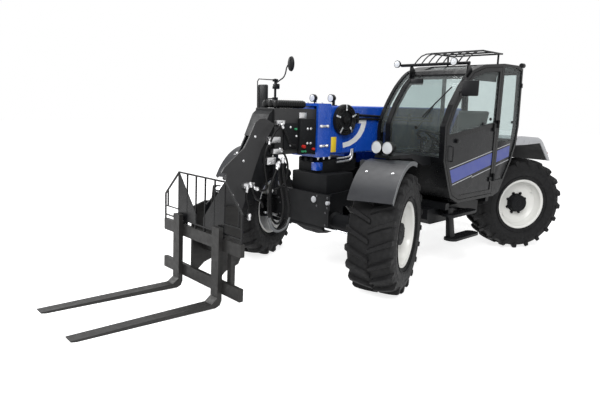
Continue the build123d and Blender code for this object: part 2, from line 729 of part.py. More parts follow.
# ---------------------------------------------------------------- cab

cab_points = [  # y from the front axle, z; clockwise from the front lower corner
    (900, 990),
    (770, 1290),
    (754, 1654),
    (868, 1876),
    (1033, 2088),
    (1230, 2253),
    (1480, 2326),
    (1925, 2364),
    (2275, 2365),
    (2414, 2333),
    (2450, 1640),
    (2420, 1416),
    (2320, 1200),
    (2070, 846),
    (1935, 808),
    (1125, 808),
    (960, 880),
]


def cab_outline(inset=0.0):
    """The cab's side outline, drawn inset from its outer skin."""
    with BuildLine() as path:
        Polyline(*side(cab_points), close=True)
    make_face(path.edges())
    if inset:
        offset(amount=-inset, kind=Kind.INTERSECTION, mode=Mode.REPLACE)


def cab_body(inset, x_low, x_high, mode=Mode.ADD):
    """The cab's volume, inset from the skin, between two X planes."""
    with BuildSketch(Plane.YZ.offset(x_low)) as face:
        cab_outline(inset)
    extrude(face.sketch, amount=x_high - x_low, mode=mode)


FRAME_INSET = 34.0  # visible width of the posts round the side openings
WINDSCREEN_LOW_Z, HEADER_Z = 1330.0, 2215.0
inner_right, inner_left = CAB_RIGHT_X + CAB_WALL, CAB_LEFT_X - CAB_WALL


def window_side(inset, y_low, y_high, z_low, x_low, x_high, mode):
    """The part of the inset side outline between two Y planes and above z_low."""
    with BuildSketch(Plane.YZ.offset(x_low)) as face:
        cab_outline(inset)
        with Locations((along((y_low + y_high) / 2), z_low + 1000)):
            Rectangle(y_high - y_low, 2000, mode=Mode.INTERSECT)
    extrude(face.sketch, amount=x_high - x_low, mode=mode)


DOOR_HINGE_X, DOOR_HINGE_Y = CAB_LEFT_X + 14, B_POST_Y - 21
DOOR_HINGE_Z = (1040.0, 1670.0)
HINGE_PIN_RADIUS, HINGE_SLEEVE_RADIUS = 7.0, 13.0


def hinge_at(z):
    """A point on the door's hinge axis."""
    return (DOOR_HINGE_X, along(DOOR_HINGE_Y), z)


with BuildPart() as cab:
    cab_body(0, CAB_RIGHT_X, CAB_LEFT_X)
    cab_body(CAB_WALL, inner_right, inner_left, Mode.SUBTRACT)
    # left side: the doorway, and the quarter window behind the B post
    window_side(FRAME_INSET, 700, B_POST_Y - 18, 700, inner_left - 5, CAB_LEFT_X + 5, Mode.SUBTRACT)
    window_side(FRAME_INSET, B_POST_Y + 36, 2500, 1000, inner_left - 5, CAB_LEFT_X + 5, Mode.SUBTRACT)
    # right side window
    window_side(70, 700, 2500, 1290, CAB_RIGHT_X - 5, inner_right + 5, Mode.SUBTRACT)
    # windscreen, rear window and roof light
    glass_x = (CAB_RIGHT_X + 60, CAB_LEFT_X - 60)
    block(glass_x, (along(700), along(1180)), (WINDSCREEN_LOW_Z, HEADER_Z), Mode.SUBTRACT)
    block(glass_x, (along(2370), along(2500)), (1480, 2260), Mode.SUBTRACT)
    block((CAB_RIGHT_X + 90, CAB_LEFT_X - 90), (along(1300), along(1850)), (2200, 2400), Mode.SUBTRACT)
    # door hinges: ears on the B post with a pin that the door's sleeves turn on
    for z in DOOR_HINGE_Z:
        block((CAB_LEFT_X - 5, CAB_LEFT_X + 8), (along(DOOR_HINGE_Y), along(DOOR_HINGE_Y + 45)), (z + 5.3, z + 45))
        rod_between(hinge_at(z + 5.3), hinge_at(z + 45), HINGE_SLEEVE_RADIUS)
        rod_between(hinge_at(z - 45), hinge_at(z + 10), HINGE_PIN_RADIUS)
finish(cab.part, "cab_frame")

glass_depth = 14.0


pane = 0.4  # pane edge to frame
with BuildPart() as cab_glass:
    cab_body(glass_depth, glass_x[0] + pane, glass_x[1] - pane)
    cab_body(glass_depth + GLASS, glass_x[0], glass_x[1], Mode.SUBTRACT)
    with BuildPart(mode=Mode.INTERSECT):
        # windscreen, rear window
        block(glass_x, (along(700), along(1180)), (WINDSCREEN_LOW_Z + pane, HEADER_Z - pane))
        block(glass_x, (along(2370), along(2500)), (1480 + pane, 2260 - pane))
        # roof light
        block(
            (CAB_RIGHT_X + 90 + pane, CAB_LEFT_X - 90 - pane),
            (along(1300 + pane), along(1850 - pane)),
            (2200, 2400),
        )
    right_x = CAB_RIGHT_X + 10
    window_side(70 + pane, 700, 2500, 1290 + pane, right_x, right_x + GLASS, Mode.ADD)
    quarter_x = CAB_LEFT_X - 12
    window_side(FRAME_INSET + pane, B_POST_Y + 36 + pane, 2500, 1000 + pane, quarter_x - GLASS, quarter_x, Mode.ADD)
finish(cab_glass.part, "cab_glass")

# door: a frame with a waist bar, glass above and a panel below
DOOR_EDGE = FRAME_INSET + PANEL_GAP
DOOR_RIM = 46.0
door_y = (700, B_POST_Y - 18 - PANEL_GAP)
waist = side([(700, WAIST_FRONT_Z), (2000, WAIST_REAR_Z + 10), (2000, WAIST_REAR_Z + 60), (700, WAIST_FRONT_Z + 50)])
door_x = (CAB_LEFT_X - 34, CAB_LEFT_X)
with BuildPart() as door:
    window_side(DOOR_EDGE, *door_y, 700, *door_x, Mode.ADD)
    window_side(DOOR_EDGE + DOOR_RIM, 700, door_y[1] - DOOR_RIM, 700, door_x[0] - 5, door_x[1] + 5, Mode.SUBTRACT)
    with BuildSketch(Plane.YZ.offset(door_x[0])) as rail:
        with BuildLine():
            Polyline(*waist, close=True)
        make_face()
        with BuildSketch(mode=Mode.INTERSECT):
            cab_outline(DOOR_EDGE + 10)
        with Locations((along((door_y[0] + door_y[1] - 10) / 2), 1500)):
            Rectangle(door_y[1] - 10 - door_y[0], 2000, mode=Mode.INTERSECT)
    extrude(rail.sketch, amount=door_x[1] - door_x[0])
    for z in DOOR_HINGE_Z:
        block((CAB_LEFT_X - 5, CAB_LEFT_X + 8), (along(DOOR_HINGE_Y - 90), along(DOOR_HINGE_Y)), (z - 45, z + 5))
        rod_between(hinge_at(z - 45), hinge_at(z + 5), HINGE_SLEEVE_RADIUS)
        rod_between(hinge_at(z - 50), hinge_at(z + 10), HINGE_PIN_RADIUS + RUNNING_FIT, Mode.SUBTRACT)
finish(door.part, "door_frame")


def door_infill(upper, x_low, x_high):
    """What fills the door's frame above or below the waist bar."""
    rise = (WAIST_REAR_Z + 10 - WAIST_FRONT_Z) / 1300
    with BuildSketch(Plane.YZ.offset(x_low)) as face:
        cab_outline(DOOR_EDGE + DOOR_RIM + pane)
        with Locations((along((700 + door_y[1] - DOOR_RIM - pane) / 2), 1500)):
            Rectangle(door_y[1] - DOOR_RIM - pane - 700, 2000, mode=Mode.INTERSECT)
        edge = 50 + pane if upper else -pane
        corner = 3000 if upper else 0
        outline = [(600, WAIST_FRONT_Z - 100 * rise + edge), (2000, WAIST_REAR_Z + 10 + edge), (2000, corner), (600, corner)]
        with BuildLine():
            Polyline(*side(outline), close=True)
        make_face(mode=Mode.INTERSECT)
    extrude(face.sketch, amount=x_high - x_low)


with BuildPart() as door_glass:
    door_infill(True, CAB_LEFT_X - 20, CAB_LEFT_X - 20 + GLASS)
finish(door_glass.part, "door_glass")

with BuildPart() as door_panel:
    door_infill(False, CAB_LEFT_X - 24, CAB_LEFT_X - 8)
finish(door_panel.part, "door_panel")

# roof guard: bars that rise from the header and run back over the roof
GUARD_Z = 2472.0
GUARD_BARS = 8
ROOF_BAR = 14.0
guard_x = (CAB_RIGHT_X + 10, CAB_LEFT_X - 40)
guard_path = [(1060, 2225), (1100, 2290), (1330, GUARD_Z), (2190, GUARD_Z + 6)]
with BuildPart() as roof_guard:
    for k in range(GUARD_BARS):
        x = guard_x[0] + k * (guard_x[1] - guard_x[0]) / (GUARD_BARS - 1)
        for (y0, z0), (y1, z1) in zip(guard_path[1:], guard_path[2:]):
            bar_between((x, along(y0), z0), (x, along(y1), z1), ROOF_BAR, ROOF_BAR, (1, 0, 0))
    for y, z in ((1100, 2290), (1330, GUARD_Z), (1760, GUARD_Z + 3), (2190, GUARD_Z + 6)):
        block((guard_x[0] - 10, guard_x[1] + 10), (along(y - 9), along(y + 9)), (z - 9, z + 9))
    for x in guard_x:
        for y, z_low, z_high in ((1108, 2190, 2290), (1760, 2350, GUARD_Z), (2180, 2365, GUARD_Z)):
            block((x - 9, x + 9), (along(y - 9), along(y + 9)), (z_low, z_high))
    cab_body(-SEAT_GAP, CAB_RIGHT_X - 1, CAB_LEFT_X + 1, Mode.SUBTRACT)
finish(roof_guard.part, "roof_guard")

ROOF_LAMP_Y = 1000.0
with BuildPart() as lamps:
    # road lamps on the arms ahead of the cab and the hood
    for centre in (-ARM_X, ARM_X):
        for dx in (-68, 66):
            rod_between((centre + dx, along(40), 1446), (centre + dx, along(100), 1446), 64)
            rod_between((centre + dx, along(100), 1446), (centre + dx, along(150), 1446), 44)
            block((centre + dx - 14, centre + dx + 14), (along(80), along(120)), (1369.3, 1420))
    # work lamps at the cab's header
    for x in (CAB_RIGHT_X - 10, CAB_LEFT_X - 60):
        rod_between((x, along(ROOF_LAMP_Y - 60), 2335), (x, along(ROOF_LAMP_Y), 2335), 42)
        foot = max(x, CAB_RIGHT_X + 28)
        bar_between((x, along(ROOF_LAMP_Y - 20), 2330), (foot, along(1088), 2284), 14, 14, (1, 0, 0))
    # tail lamps
    for hand in (1, -1):
        block(sorted((hand * 330, hand * 420)), (along(weight_back_y + SEAT_GAP), along(weight_back_y + 22)), (800, 940))
finish(lamps.part, "lamps")

# cab interior
with BuildPart() as seat_base:
    block((560, 900), (along(1500), along(1860)), (850.3, 1180))
finish(seat_base.part, "seat_base")

with BuildPart() as seat:
    block((500, 960), (along(1420), along(1900)), (1180.3, 1290))
    with BuildSketch(Plane.YZ.offset(500)) as back:
        with BuildLine():
            Polyline(*side([(1830, 1290.3), (1930, 1290.3), (2060, 1860), (1970, 1880)]), close=True)
        make_face()
    extrude(back.sketch, amount=460)
finish(seat.part, "seat_cushions")

with BuildPart() as column:
    block((640, 820), (along(940), along(1050)), (1010, 1340))
    bar_between((730, along(1000), 1330), (730, along(1080), 1430), 90, 80, (1, 0, 0))
    wheel_plane = Plane(origin=(730, along(1110), 1500), z_dir=(0, 0.5, 1))
    with BuildSketch(wheel_plane) as ring:
        Circle(190)
        Circle(162, mode=Mode.SUBTRACT)
        Rectangle(340, 34)
    extrude(ring.sketch, amount=22)
    rod_between((730, along(1070), 1395), (730, along(1112), 1500), 26)
    slab_across(side([(864.1, 1180), (950, 1180), (950, 1340), (810.4, 1340), (812.2, 1299.6)]), 400, 1020)
    block((385, 490), (along(1250), along(1900)), (850.3, 1330))
    rod_between((450, along(1330), 1320), (450, along(1310), 1470), 18)
    block((400, 500), (along(1290), along(1350)), (1460, 1500))
finish(column.part, "cab_controls")

# ---------------------------------------------------------------- boom

collar = COLLAR_RIM
with BuildPart() as boom:
    block((-BOOM_HALF_WIDTH, BOOM_HALF_WIDTH), (along(BOOM_FRONT_Y), along(BOOM_REAR_Y)), (BOOM_BOTTOM, BOOM_TOP))
    fillet(boom.edges().filter_by(Axis.Y), 24)
    block(
        (-BOOM_HALF_WIDTH - collar, BOOM_HALF_WIDTH + collar),
        (along(BOOM_FRONT_Y), along(BOOM_FRONT_Y + COLLAR_LENGTH)),
        (BOOM_BOTTOM - collar, BOOM_TOP + collar),
    )
    cavity = BOOM_HALF_WIDTH - BOOM_WALL
    block(
        (-cavity, cavity),
        (along(BOOM_FRONT_Y - 1), along(BOOM_REAR_Y - 30)),
        (BOOM_BOTTOM + BOOM_WALL, BOOM_TOP - BOOM_WALL),
        Mode.SUBTRACT,
    )
    # wear pads that the inner stage runs on
    pad_y = (along(BOOM_FRONT_Y + 20), along(BOOM_FRONT_Y + 20 + PAD_LENGTH))
    for hand in (1, -1):
        block(sorted((hand * cavity, hand * (INNER_HALF_WIDTH + PAD_GAP))), pad_y, (1420, 1720))
    block((-110, 110), pad_y, (BOOM_BOTTOM + BOOM_WALL, INNER_BOTTOM - PAD_GAP))
    block((-110, 110), pad_y, (INNER_TOP + PAD_GAP, BOOM_TOP - BOOM_WALL))
    # pivot tube and the lift cylinder's ears
    pin_across(along(BOOM_PIVOT_Y), BOOM_PIVOT_Z, PIVOT_BOSS_RADIUS, -262, 262)
    for x in (-EAR_INNER - EAR, EAR_INNER):
        slab_across(
            side([(LIFT_EYE_Y - 150, BOOM_BOTTOM + 1), (LIFT_EYE_Y + 150, BOOM_BOTTOM + 1),
                  (LIFT_EYE_Y + 50, LIFT_EYE_Z - 50), (LIFT_EYE_Y - 50, LIFT_EYE_Z - 50)]),
            x,
            x + EAR,
        )
    pin_across(along(BOOM_PIVOT_Y), BOOM_PIVOT_Z, PIVOT_PIN_RADIUS + RUNNING_FIT, -300, 300, Mode.SUBTRACT)
finish(boom.part, "boom_outer")

DRUM_Y, DRUM_Z = 190.0, 1690.0
with BuildPart() as drum:
    pin_across(along(DRUM_Y), DRUM_Z, 165, BOOM_HALF_WIDTH + 12, BOOM_HALF_WIDTH + 52)
    pin_across(along(DRUM_Y), DRUM_Z, 70, BOOM_HALF_WIDTH + SEAT_GAP, BOOM_HALF_WIDTH + 12)
    pin_across(along(DRUM_Y), DRUM_Z, 120, BOOM_HALF_WIDTH + 42, BOOM_HALF_WIDTH + 52, Mode.SUBTRACT)
    pin_across(along(DRUM_Y), DRUM_Z, 36, BOOM_HALF_WIDTH + 40, BOOM_HALF_WIDTH + 60)
finish(drum.part, "hose_drum")

with BuildPart() as boom_lamps:
    for x in (-140, 140):
        rod_between((x, along(30), 1915), (x, along(80), 1915), 42)
        rod_between((x, along(80), 1915), (x, along(100), 1915), 26)
        block((x - 10, x + 10), (along(70), along(100)), (BOOM_TOP + SEAT_GAP, 1900))
finish(boom_lamps.part, "boom_lamps")

# ---------------------------------------------------------------- inner stage and head

with BuildPart() as inner:
    block((-INNER_HALF_WIDTH, INNER_HALF_WIDTH), (along(INNER_FRONT_Y), along(INNER_REAR_Y)), (INNER_BOTTOM, INNER_TOP))
    block(
        (-INNER_HALF_WIDTH + BOOM_WALL, INNER_HALF_WIDTH - BOOM_WALL),
        (along(INNER_FRONT_Y + 30), along(INNER_REAR_Y + 1)),
        (INNER_BOTTOM + BOOM_WALL, INNER_TOP - BOOM_WALL),
        Mode.SUBTRACT,
    )
finish(inner.part, "boom_inner")

core_points = side(
    [
        (-740.3, 1790),
        (-740.3, 1360),
        (-800, 1180),
        (-1000, 960),
        (-1180, 770),
        (-1290, 745),
        (-1360, 800),
        (-1365, 880),
        (-1300, 935),
        (-1160, 1010),
        (-1080, 1220),
        (-960, 1400),
        (-820, 1660),
        (-790, 1740),
    ]
)
with BuildPart() as head:
    for x_low in (-HEAD_CORE_HALF, HEAD_CORE_HALF - HEAD_PLATE):
        slab_across(core_points, x_low, x_low + HEAD_PLATE)
    block((-HEAD_CORE_HALF, HEAD_CORE_HALF), (along(-758), along(-740.3)), (1360, 1790))
    slab_across(
        side([(-740.3, 1772), (-740.3, 1790), (-800, 1742), (-900, 1530), (-888, 1522), (-810, 1690)]),
        -HEAD_CORE_HALF,
        HEAD_CORE_HALF,
    )
    pin_across(along(TILT_BARREL_Y), TILT_BARREL_Z, 30, -HEAD_CORE_HALF, HEAD_CORE_HALF)
    for x_low, x_high in ((-HEAD_CORE_HALF, -96), (96, HEAD_CORE_HALF)):
        pin_across(along(TILT_PIVOT_Y), TILT_PIVOT_Z, 62, x_low, x_high)
    pin_across(along(TILT_PIVOT_Y), TILT_PIVOT_Z, TILT_PIN_RADIUS + RUNNING_FIT, -200, 200, Mode.SUBTRACT)
finish(head.part, "boom_head")

with BuildPart() as head_plate:
    with BuildSketch(Plane.YZ.offset(HEAD_CORE_HALF + SEAT_GAP)) as cover:
        with BuildLine():
            Polyline(
                *side([(-740, 1650), (-905, 1410), (-985, 1220), (-1055, 1030), (-1150, 800), (-1215, 765), (-1330, 765)]),
                *side([(-1372, 850), (-1365, 1045), (-1312, 1115), (-1298, 1208), (-1362, 1216)]),
                *side([(-1330, 1262), (-1235, 1335), (-1110, 1428), (-1065, 1495), (-975, 1665), (-925, 1700), (-860, 1704)]),
                close=True,
            )
        make_face()
    extrude(cover.sketch, amount=HEAD_PLATE)
    pin_across(along(TILT_PIVOT_Y), TILT_PIVOT_Z, TILT_PIN_RADIUS + RUNNING_FIT, 100, 200, Mode.SUBTRACT)
finish(head_plate.part, "head_plate")

# tilt cylinder, between the head's plates
eye_y, eye_z = TILT_PIVOT_Y, TILT_PIVOT_Z + TILT_ARM
barrel_y, barrel_z = TILT_BARREL_Y, TILT_BARREL_Z
tilt_line = Vector(0, eye_y - barrel_y, eye_z - barrel_z)
tilt_dir = tilt_line.normalized()
tilt_closed = tilt_line.length


def on_line(y, z, direction, distance):
    """A point on a cylinder's centre line, in the machine's frame."""
    return (0, along(y) + direction.Y * distance, z + direction.Z * distance)


with BuildPart() as tilt_barrel:
    pin_across(along(barrel_y), barrel_z, 48, -40, 40)
    rod_between(
        on_line(barrel_y, barrel_z, tilt_dir, 30),
        on_line(barrel_y, barrel_z, tilt_dir, tilt_closed - 120),
        TILT_BARREL_RADIUS,
    )
    pin_across(along(barrel_y), barrel_z, 30 + RUNNING_FIT, -60, 60, Mode.SUBTRACT)
    rod_between(
        on_line(barrel_y, barrel_z, tilt_dir, 60),
        on_line(barrel_y, barrel_z, tilt_dir, tilt_closed),
        TILT_ROD_RADIUS + RUNNING_FIT,
        Mode.SUBTRACT,
    )
finish(tilt_barrel.part, "tilt_cylinder_barrel")

with BuildPart() as tilt_rod:
    rod_between(
        on_line(barrel_y, barrel_z, tilt_dir, tilt_closed - 420),
        on_line(barrel_y, barrel_z, tilt_dir, tilt_closed - 20),
        TILT_ROD_RADIUS,
    )
    pin_across(along(eye_y), eye_z, 38, -30, 30)
finish(tilt_rod.part, "tilt_cylinder_rod")

# lift cylinder, between the frame plates
lift_line = Vector(0, LIFT_EYE_Y - LIFT_BASE_Y, LIFT_EYE_Z - LIFT_BASE_Z)
lift_dir = lift_line.normalized()
lift_closed = lift_line.length
with BuildPart() as lift_barrel:
    pin_across(along(LIFT_BASE_Y), LIFT_BASE_Z, 50, -EAR_INNER + EYE_GAP, EAR_INNER - EYE_GAP)
    rod_between(
        on_line(LIFT_BASE_Y, LIFT_BASE_Z, lift_dir, 30),
        on_line(LIFT_BASE_Y, LIFT_BASE_Z, lift_dir, lift_closed - 95),
        LIFT_BARREL_RADIUS,
    )
    pin_across(along(LIFT_BASE_Y), LIFT_BASE_Z, LIFT_PIN_RADIUS + RUNNING_FIT, -90, 90, Mode.SUBTRACT)
    rod_between(
        on_line(LIFT_BASE_Y, LIFT_BASE_Z, lift_dir, 60),
        on_line(LIFT_BASE_Y, LIFT_BASE_Z, lift_dir, lift_closed),
        LIFT_ROD_RADIUS + RUNNING_FIT,
        Mode.SUBTRACT,
    )
finish(lift_barrel.part, "lift_cylinder_barrel")

with BuildPart() as lift_rod:
    rod_between(
        on_line(LIFT_BASE_Y, LIFT_BASE_Z, lift_dir, 62),
        on_line(LIFT_BASE_Y, LIFT_BASE_Z, lift_dir, lift_closed - 20),
        LIFT_ROD_RADIUS,
    )
    pin_across(along(LIFT_EYE_Y), LIFT_EYE_Z, 46, -EAR_INNER + EYE_GAP, EAR_INNER - EYE_GAP)
finish(lift_rod.part, "lift_cylinder_rod")

# ---------------------------------------------------------------- carriage, load guard, forks
# drawn upright, then tipped back about the tilt pivot


def tipped(part, name):
    """Tip an upright piece back by the carriage's angle and write it."""
    finish(part.rotate(TILT_PIVOT, -CARRIAGE_TILT), name)


bar_back = FORK_FACE_Y + FORK_THICK + BAR_DEPTH
with BuildPart() as carriage:
    for z in (UPPER_BAR_Z, LOWER_BAR_Z):
        block(
            (-CARRIAGE_HALF, CARRIAGE_HALF),
            (along(FORK_FACE_Y + FORK_THICK + SEAT_GAP), along(bar_back)),
            (z - BAR_HEIGHT / 2, z + BAR_HEIGHT / 2),
        )
    for x in (-470, 415):
        block((x, x + 55), (along(bar_back - 5), along(bar_back + 40)), (LOWER_BAR_Z - 40, UPPER_BAR_Z + 50))
    # side brackets that carry the pivot, and the tube between them
    bracket = side(
        [
            (bar_back - 4, 180),
            (bar_back - 4, 860),
            (-1330, 910),
            (-1225, 905),
            (-1165, 800),
            (-1155, 420),
            (-1190, 345),
            (-1330, 300),
        ]
    )
    for x_low, x_high in ((170, 195), (-195, -170)):
        slab_across(bracket, x_low, x_high)
    pin_across(along(-1300), 470, 55, -195, 195)
    pin_across(along(TILT_PIVOT_Y), TILT_PIVOT_Z, TILT_PIN_RADIUS, -195, 195)
    for x_low, x_high in ((-84, -62), (62, 84)):
        slab_across(
            side([(-1340, 790), (-1200, 790), (TILT_PIVOT_Y + 40, TILT_PIVOT_Z + TILT_ARM + 40), (TILT_PIVOT_Y - 40, TILT_PIVOT_Z + TILT_ARM + 40)]),
            x_low,
            x_high,
        )
tipped(carriage.part, "carriage_frame")

guard_y = FORK_FACE_Y + FORK_THICK + 5
with BuildPart() as guard:
    y_span = (along(guard_y), along(guard_y + GUARD_BAR))
    low, shoulder, top = GUARD_LOW_Z, GUARD_SHOULDER_Z, GUARD_TOP_Z
    half, apex = CARRIAGE_HALF, GUARD_APEX_X
    block((-half, half), y_span, (GUSSET_LOW_Z - 4, GUSSET_LOW_Z + 8))
    block((-apex, apex), y_span, (top - GUARD_BAR, top))
    for hand in (1, -1):
        block(sorted((hand * half, hand * (half - GUARD_BAR))), y_span, (low, shoulder))
        slab_along(
            [(hand * half, shoulder), (hand * apex, top), (hand * apex, top - 20), (hand * (half - GUARD_BAR), shoulder - 7)],
            *y_span,
        )
        slab_along(
            [(hand * apex, GUSSET_LOW_Z), (hand * apex, top), (hand * 60, low + 130), (hand * 60, GUSSET_LOW_Z)],
            along(guard_y + 2),
            along(guard_y + 10),
        )
        block(sorted((hand * half, hand * apex)), y_span, (low + 128, low + 138))
        block(sorted((hand * 600, hand * 590)), y_span, (low + 130, shoulder + 30))
    for k in range(6):
        x = -apex + k * 2 * apex / 5
        block((x - 5, x + 5), y_span, (low, top))
tipped(guard.part, "load_guard")

blade_low = FORK_TOP_Z - FORK_THICK
with BuildPart() as forks:
    for x in (-FORK_SPACING / 2, FORK_SPACING / 2):
        with BuildSketch(Plane.YZ.offset(x - FORK_WIDTH / 2)) as profile:
            heel = FORK_FACE_Y + FORK_THICK
            with BuildLine():
                Polyline(
                    *side([(heel, SHANK_TOP_Z), (heel, blade_low + 60), (heel - 18, blade_low + 18), (heel - 60, blade_low)]),
                    *side([(FORK_FACE_Y - FORK_LENGTH + 40, FORK_TOP_Z - 30), (FORK_FACE_Y - FORK_LENGTH, FORK_TOP_Z - 22)]),
                    *side([(FORK_FACE_Y - FORK_LENGTH, FORK_TOP_Z - 12), (FORK_FACE_Y - 60, FORK_TOP_Z)]),
                    *side([(FORK_FACE_Y, FORK_TOP_Z + 45), (FORK_FACE_Y, SHANK_TOP_Z)]),
                    close=True,
                )
            make_face()
        extrude(profile.sketch, amount=FORK_WIDTH)
        block(
            (x - FORK_WIDTH / 2 + 20, x + FORK_WIDTH / 2 - 20),
            (along(heel - 1), along(bar_back + 20)),
            (UPPER_BAR_Z + BAR_HEIGHT / 2 + SEAT_GAP, UPPER_BAR_Z + BAR_HEIGHT / 2 + 30),
        )
tipped(forks.part, "forks")
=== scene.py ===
"""A telehandler with pallet forks, dressed over its CAD frame.

Metres and radians, +X left, -Y forward, +Z up.
"""

import json
from math import cos, pi, radians, sin, tau

import bmesh
import bpy
from mathutils import Matrix, Vector


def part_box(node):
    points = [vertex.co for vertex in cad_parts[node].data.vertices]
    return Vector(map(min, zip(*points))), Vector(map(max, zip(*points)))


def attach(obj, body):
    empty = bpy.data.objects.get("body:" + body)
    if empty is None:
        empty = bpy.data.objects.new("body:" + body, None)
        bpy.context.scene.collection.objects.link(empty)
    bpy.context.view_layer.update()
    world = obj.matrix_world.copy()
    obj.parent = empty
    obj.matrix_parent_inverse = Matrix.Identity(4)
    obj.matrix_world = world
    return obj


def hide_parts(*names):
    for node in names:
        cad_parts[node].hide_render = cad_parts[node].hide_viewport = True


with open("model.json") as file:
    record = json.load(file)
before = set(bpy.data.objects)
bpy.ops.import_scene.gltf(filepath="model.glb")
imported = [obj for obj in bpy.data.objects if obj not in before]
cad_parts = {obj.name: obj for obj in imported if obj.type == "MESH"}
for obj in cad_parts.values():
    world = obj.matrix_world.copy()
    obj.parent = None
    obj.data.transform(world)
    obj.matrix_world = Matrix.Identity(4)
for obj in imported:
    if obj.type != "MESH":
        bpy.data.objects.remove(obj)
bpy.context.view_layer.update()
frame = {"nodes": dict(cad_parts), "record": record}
nodes = frame["nodes"]
joints = {joint["name"]: joint for joint in frame["record"]["behaviour"]["joints"]}

# ---------------------------------------------------------------- places, from the frame

CORNERS = {"front_left": 1, "front_right": -1, "rear_left": 1, "rear_right": -1}
FRONT_AXLE_Y = joints["steer_front_left"]["pos_m"][1]
TYRE_OFFSET = 0.2
LUGS_PER_SIDE = 20
LEFT, FORWARD = (1, 0, 0), (0, -1, 0)


def along(y):
    """A place measured back from the front axle."""
    return FRONT_AXLE_Y + y


def corner_matrix(corner):
    """From a left-hand wheel's own frame (X outboard, kingpin at the origin) to its corner."""
    spin = joints[f"spin_{corner}"]
    axis = Vector(spin["axis"]).normalized()
    turn = Matrix.Rotation(Vector((1, 0)).angle_signed(axis.xy) * -1, 4, "Z")
    return Matrix.Translation(spin["pos_m"]) @ turn @ Matrix.Diagonal((CORNERS[corner], 1, 1, 1))


# ---------------------------------------------------------------- materials


def new_material(name):
    """An empty node material and its shader."""
    material = bpy.data.materials.new(name)
    material.use_nodes = True
    return material, material.node_tree, material.node_tree.nodes["Principled BSDF"]


def put(node, values):
    """Set a node's inputs by name."""
    for name, value in values.items():
        node.inputs[name].default_value = value


def add_node(tree, kind, source=None, values=()):
    """A shader node, with a link into its first input and values for the others."""
    node = tree.nodes.new(f"ShaderNode{kind}")
    if source:
        tree.links.new(source, node.inputs[0])
    put(node, dict(values))
    return node


def object_space(tree):
    """Object coordinates."""
    return add_node(tree, "TexCoord").outputs["Object"]


def noise(tree, scale, detail=4.0, stretch=None):
    """A noise texture in object space."""
    source = object_space(tree)
    if stretch:
        source = add_node(tree, "Mapping", source, {"Scale": stretch}).outputs["Vector"]
    return add_node(tree, "TexNoise", source, {"Scale": scale, "Detail": detail}).outputs["Fac"]


def ramp(tree, fac, stops, socket):
    """A colour ramp of (position, colour) stops, linked into a socket."""
    node = add_node(tree, "ValToRGB", fac)
    elements = node.color_ramp.elements
    while len(elements) < len(stops):
        elements.new(0.5)
    for element, (position, colour) in zip(elements, stops):
        element.position = position
        element.color = (*colour, 1)
    tree.links.new(node.outputs["Color"], socket)


def bump(tree, shader, height, strength, distance):
    """Bump from a height."""
    node = add_node(tree, "Bump", values={"Strength": strength, "Distance": distance})
    tree.links.new(height, node.inputs["Height"])
    tree.links.new(node.outputs["Normal"], shader.inputs["Normal"])


def blend(tree, fac, first, second):
    """The material's surface, mixed from two shaders."""
    mix = add_node(tree, "MixShader", fac)
    tree.links.new(first, mix.inputs[1])
    tree.links.new(second, mix.inputs[2])
    tree.links.new(mix.outputs["Shader"], tree.nodes["Material Output"].inputs["Surface"])


def shaded(colour, factor):
    """A colour made lighter or darker."""
    return tuple(min(1.0, channel * factor) for channel in colour)


def patchy(tree, shader, patches, low, high, start=0.3):
    """Roughness that varies between two values along a noise."""
    ramp(tree, noise(tree, *patches), [(start, (low,) * 3), (0.7, (high,) * 3)], shader.inputs["Roughness"])


def surface(name, colour, drift, stops, constants, relief, sheen=None):
    """A material: colour that drifts along a noise, constants, bump and perhaps a patchy sheen."""
    material, tree, shader = new_material(name)
    shades = [(position, shaded(colour, factor)) for position, factor in stops]
    ramp(tree, noise(tree, *drift), shades, shader.inputs["Base Color"])
    put(shader, constants)
    scale, detail, strength, distance = relief
    bump(tree, shader, noise(tree, scale, detail), strength, distance)
    if sheen:
        patchy(tree, shader, *sheen)
    return material


def paint(name, colour, roughness=0.4, coat=0.0, peel=0.15, variation=0.12, specular=0.5):
    """Sprayed paint: slight colour drift, orange peel, patchy sheen."""
    stops = [(0.3, 1 - variation), (0.7, 1 + variation)]
    constants = {"Coat Weight": coat, "Coat Roughness": 0.12, "Specular IOR Level": specular}
    sheen = ((14, 6), roughness - 0.06, roughness + 0.08, 0.35)
    return surface(name, colour, (2.3, 5), stops, constants, (420, 2, peel, 0.0006), sheen)


def cast(name, colour, roughness=0.62):
    """Painted rough casting."""
    constants = {"Roughness": roughness, "Specular IOR Level": 0.14}
    return surface(name, colour, (7, 6), [(0.3, 0.75), (0.75, 1.3)], constants, (160, 5, 0.45, 0.0012))


def plastic(name, colour, roughness=0.5, grain=900):
    """Moulded plastic with a fine grain."""
    constants = {"Roughness": roughness, "Specular IOR Level": 0.15}
    return surface(name, colour, (3.1, 3), [(0.3, 0.9), (0.7, 1.12)], constants, (grain, 2, 0.25, 0.0005))


def steel(name, colour, roughness=0.25):
    """Bare or plated steel."""
    material, tree, shader = new_material(name)
    put(shader, {"Base Color": (*colour, 1), "Metallic": 1.0})
    patchy(tree, shader, (60, 4), roughness * 0.7, roughness * 1.4)
    return material


def worn_fork(name, colour):
    """Dark steel, scuffed brighter in long streaks."""
    streaks, stops = (5, 8, (9, 1.2, 9)), [(0.35, 0.8), (0.62, 1), (0.78, 1.7)]
    constants = {"Metallic": 0.2, "Specular IOR Level": 0.3}
    return surface(name, colour, streaks, stops, constants, (210, 5, 0.25, 0.0008), ((22, 5), 0.38, 0.6))


def rubber(name, colour):
    """Tyre rubber: dusty grey-black with mould grain."""
    stops, constants = [(0.35, 1), (0.62, 1.35), (0.85, 1.8)], {"Specular IOR Level": 0.2}
    return surface(name, colour, (9, 8), stops, constants, (340, 4, 0.3, 0.0008), ((31, 4), 0.55, 0.78))


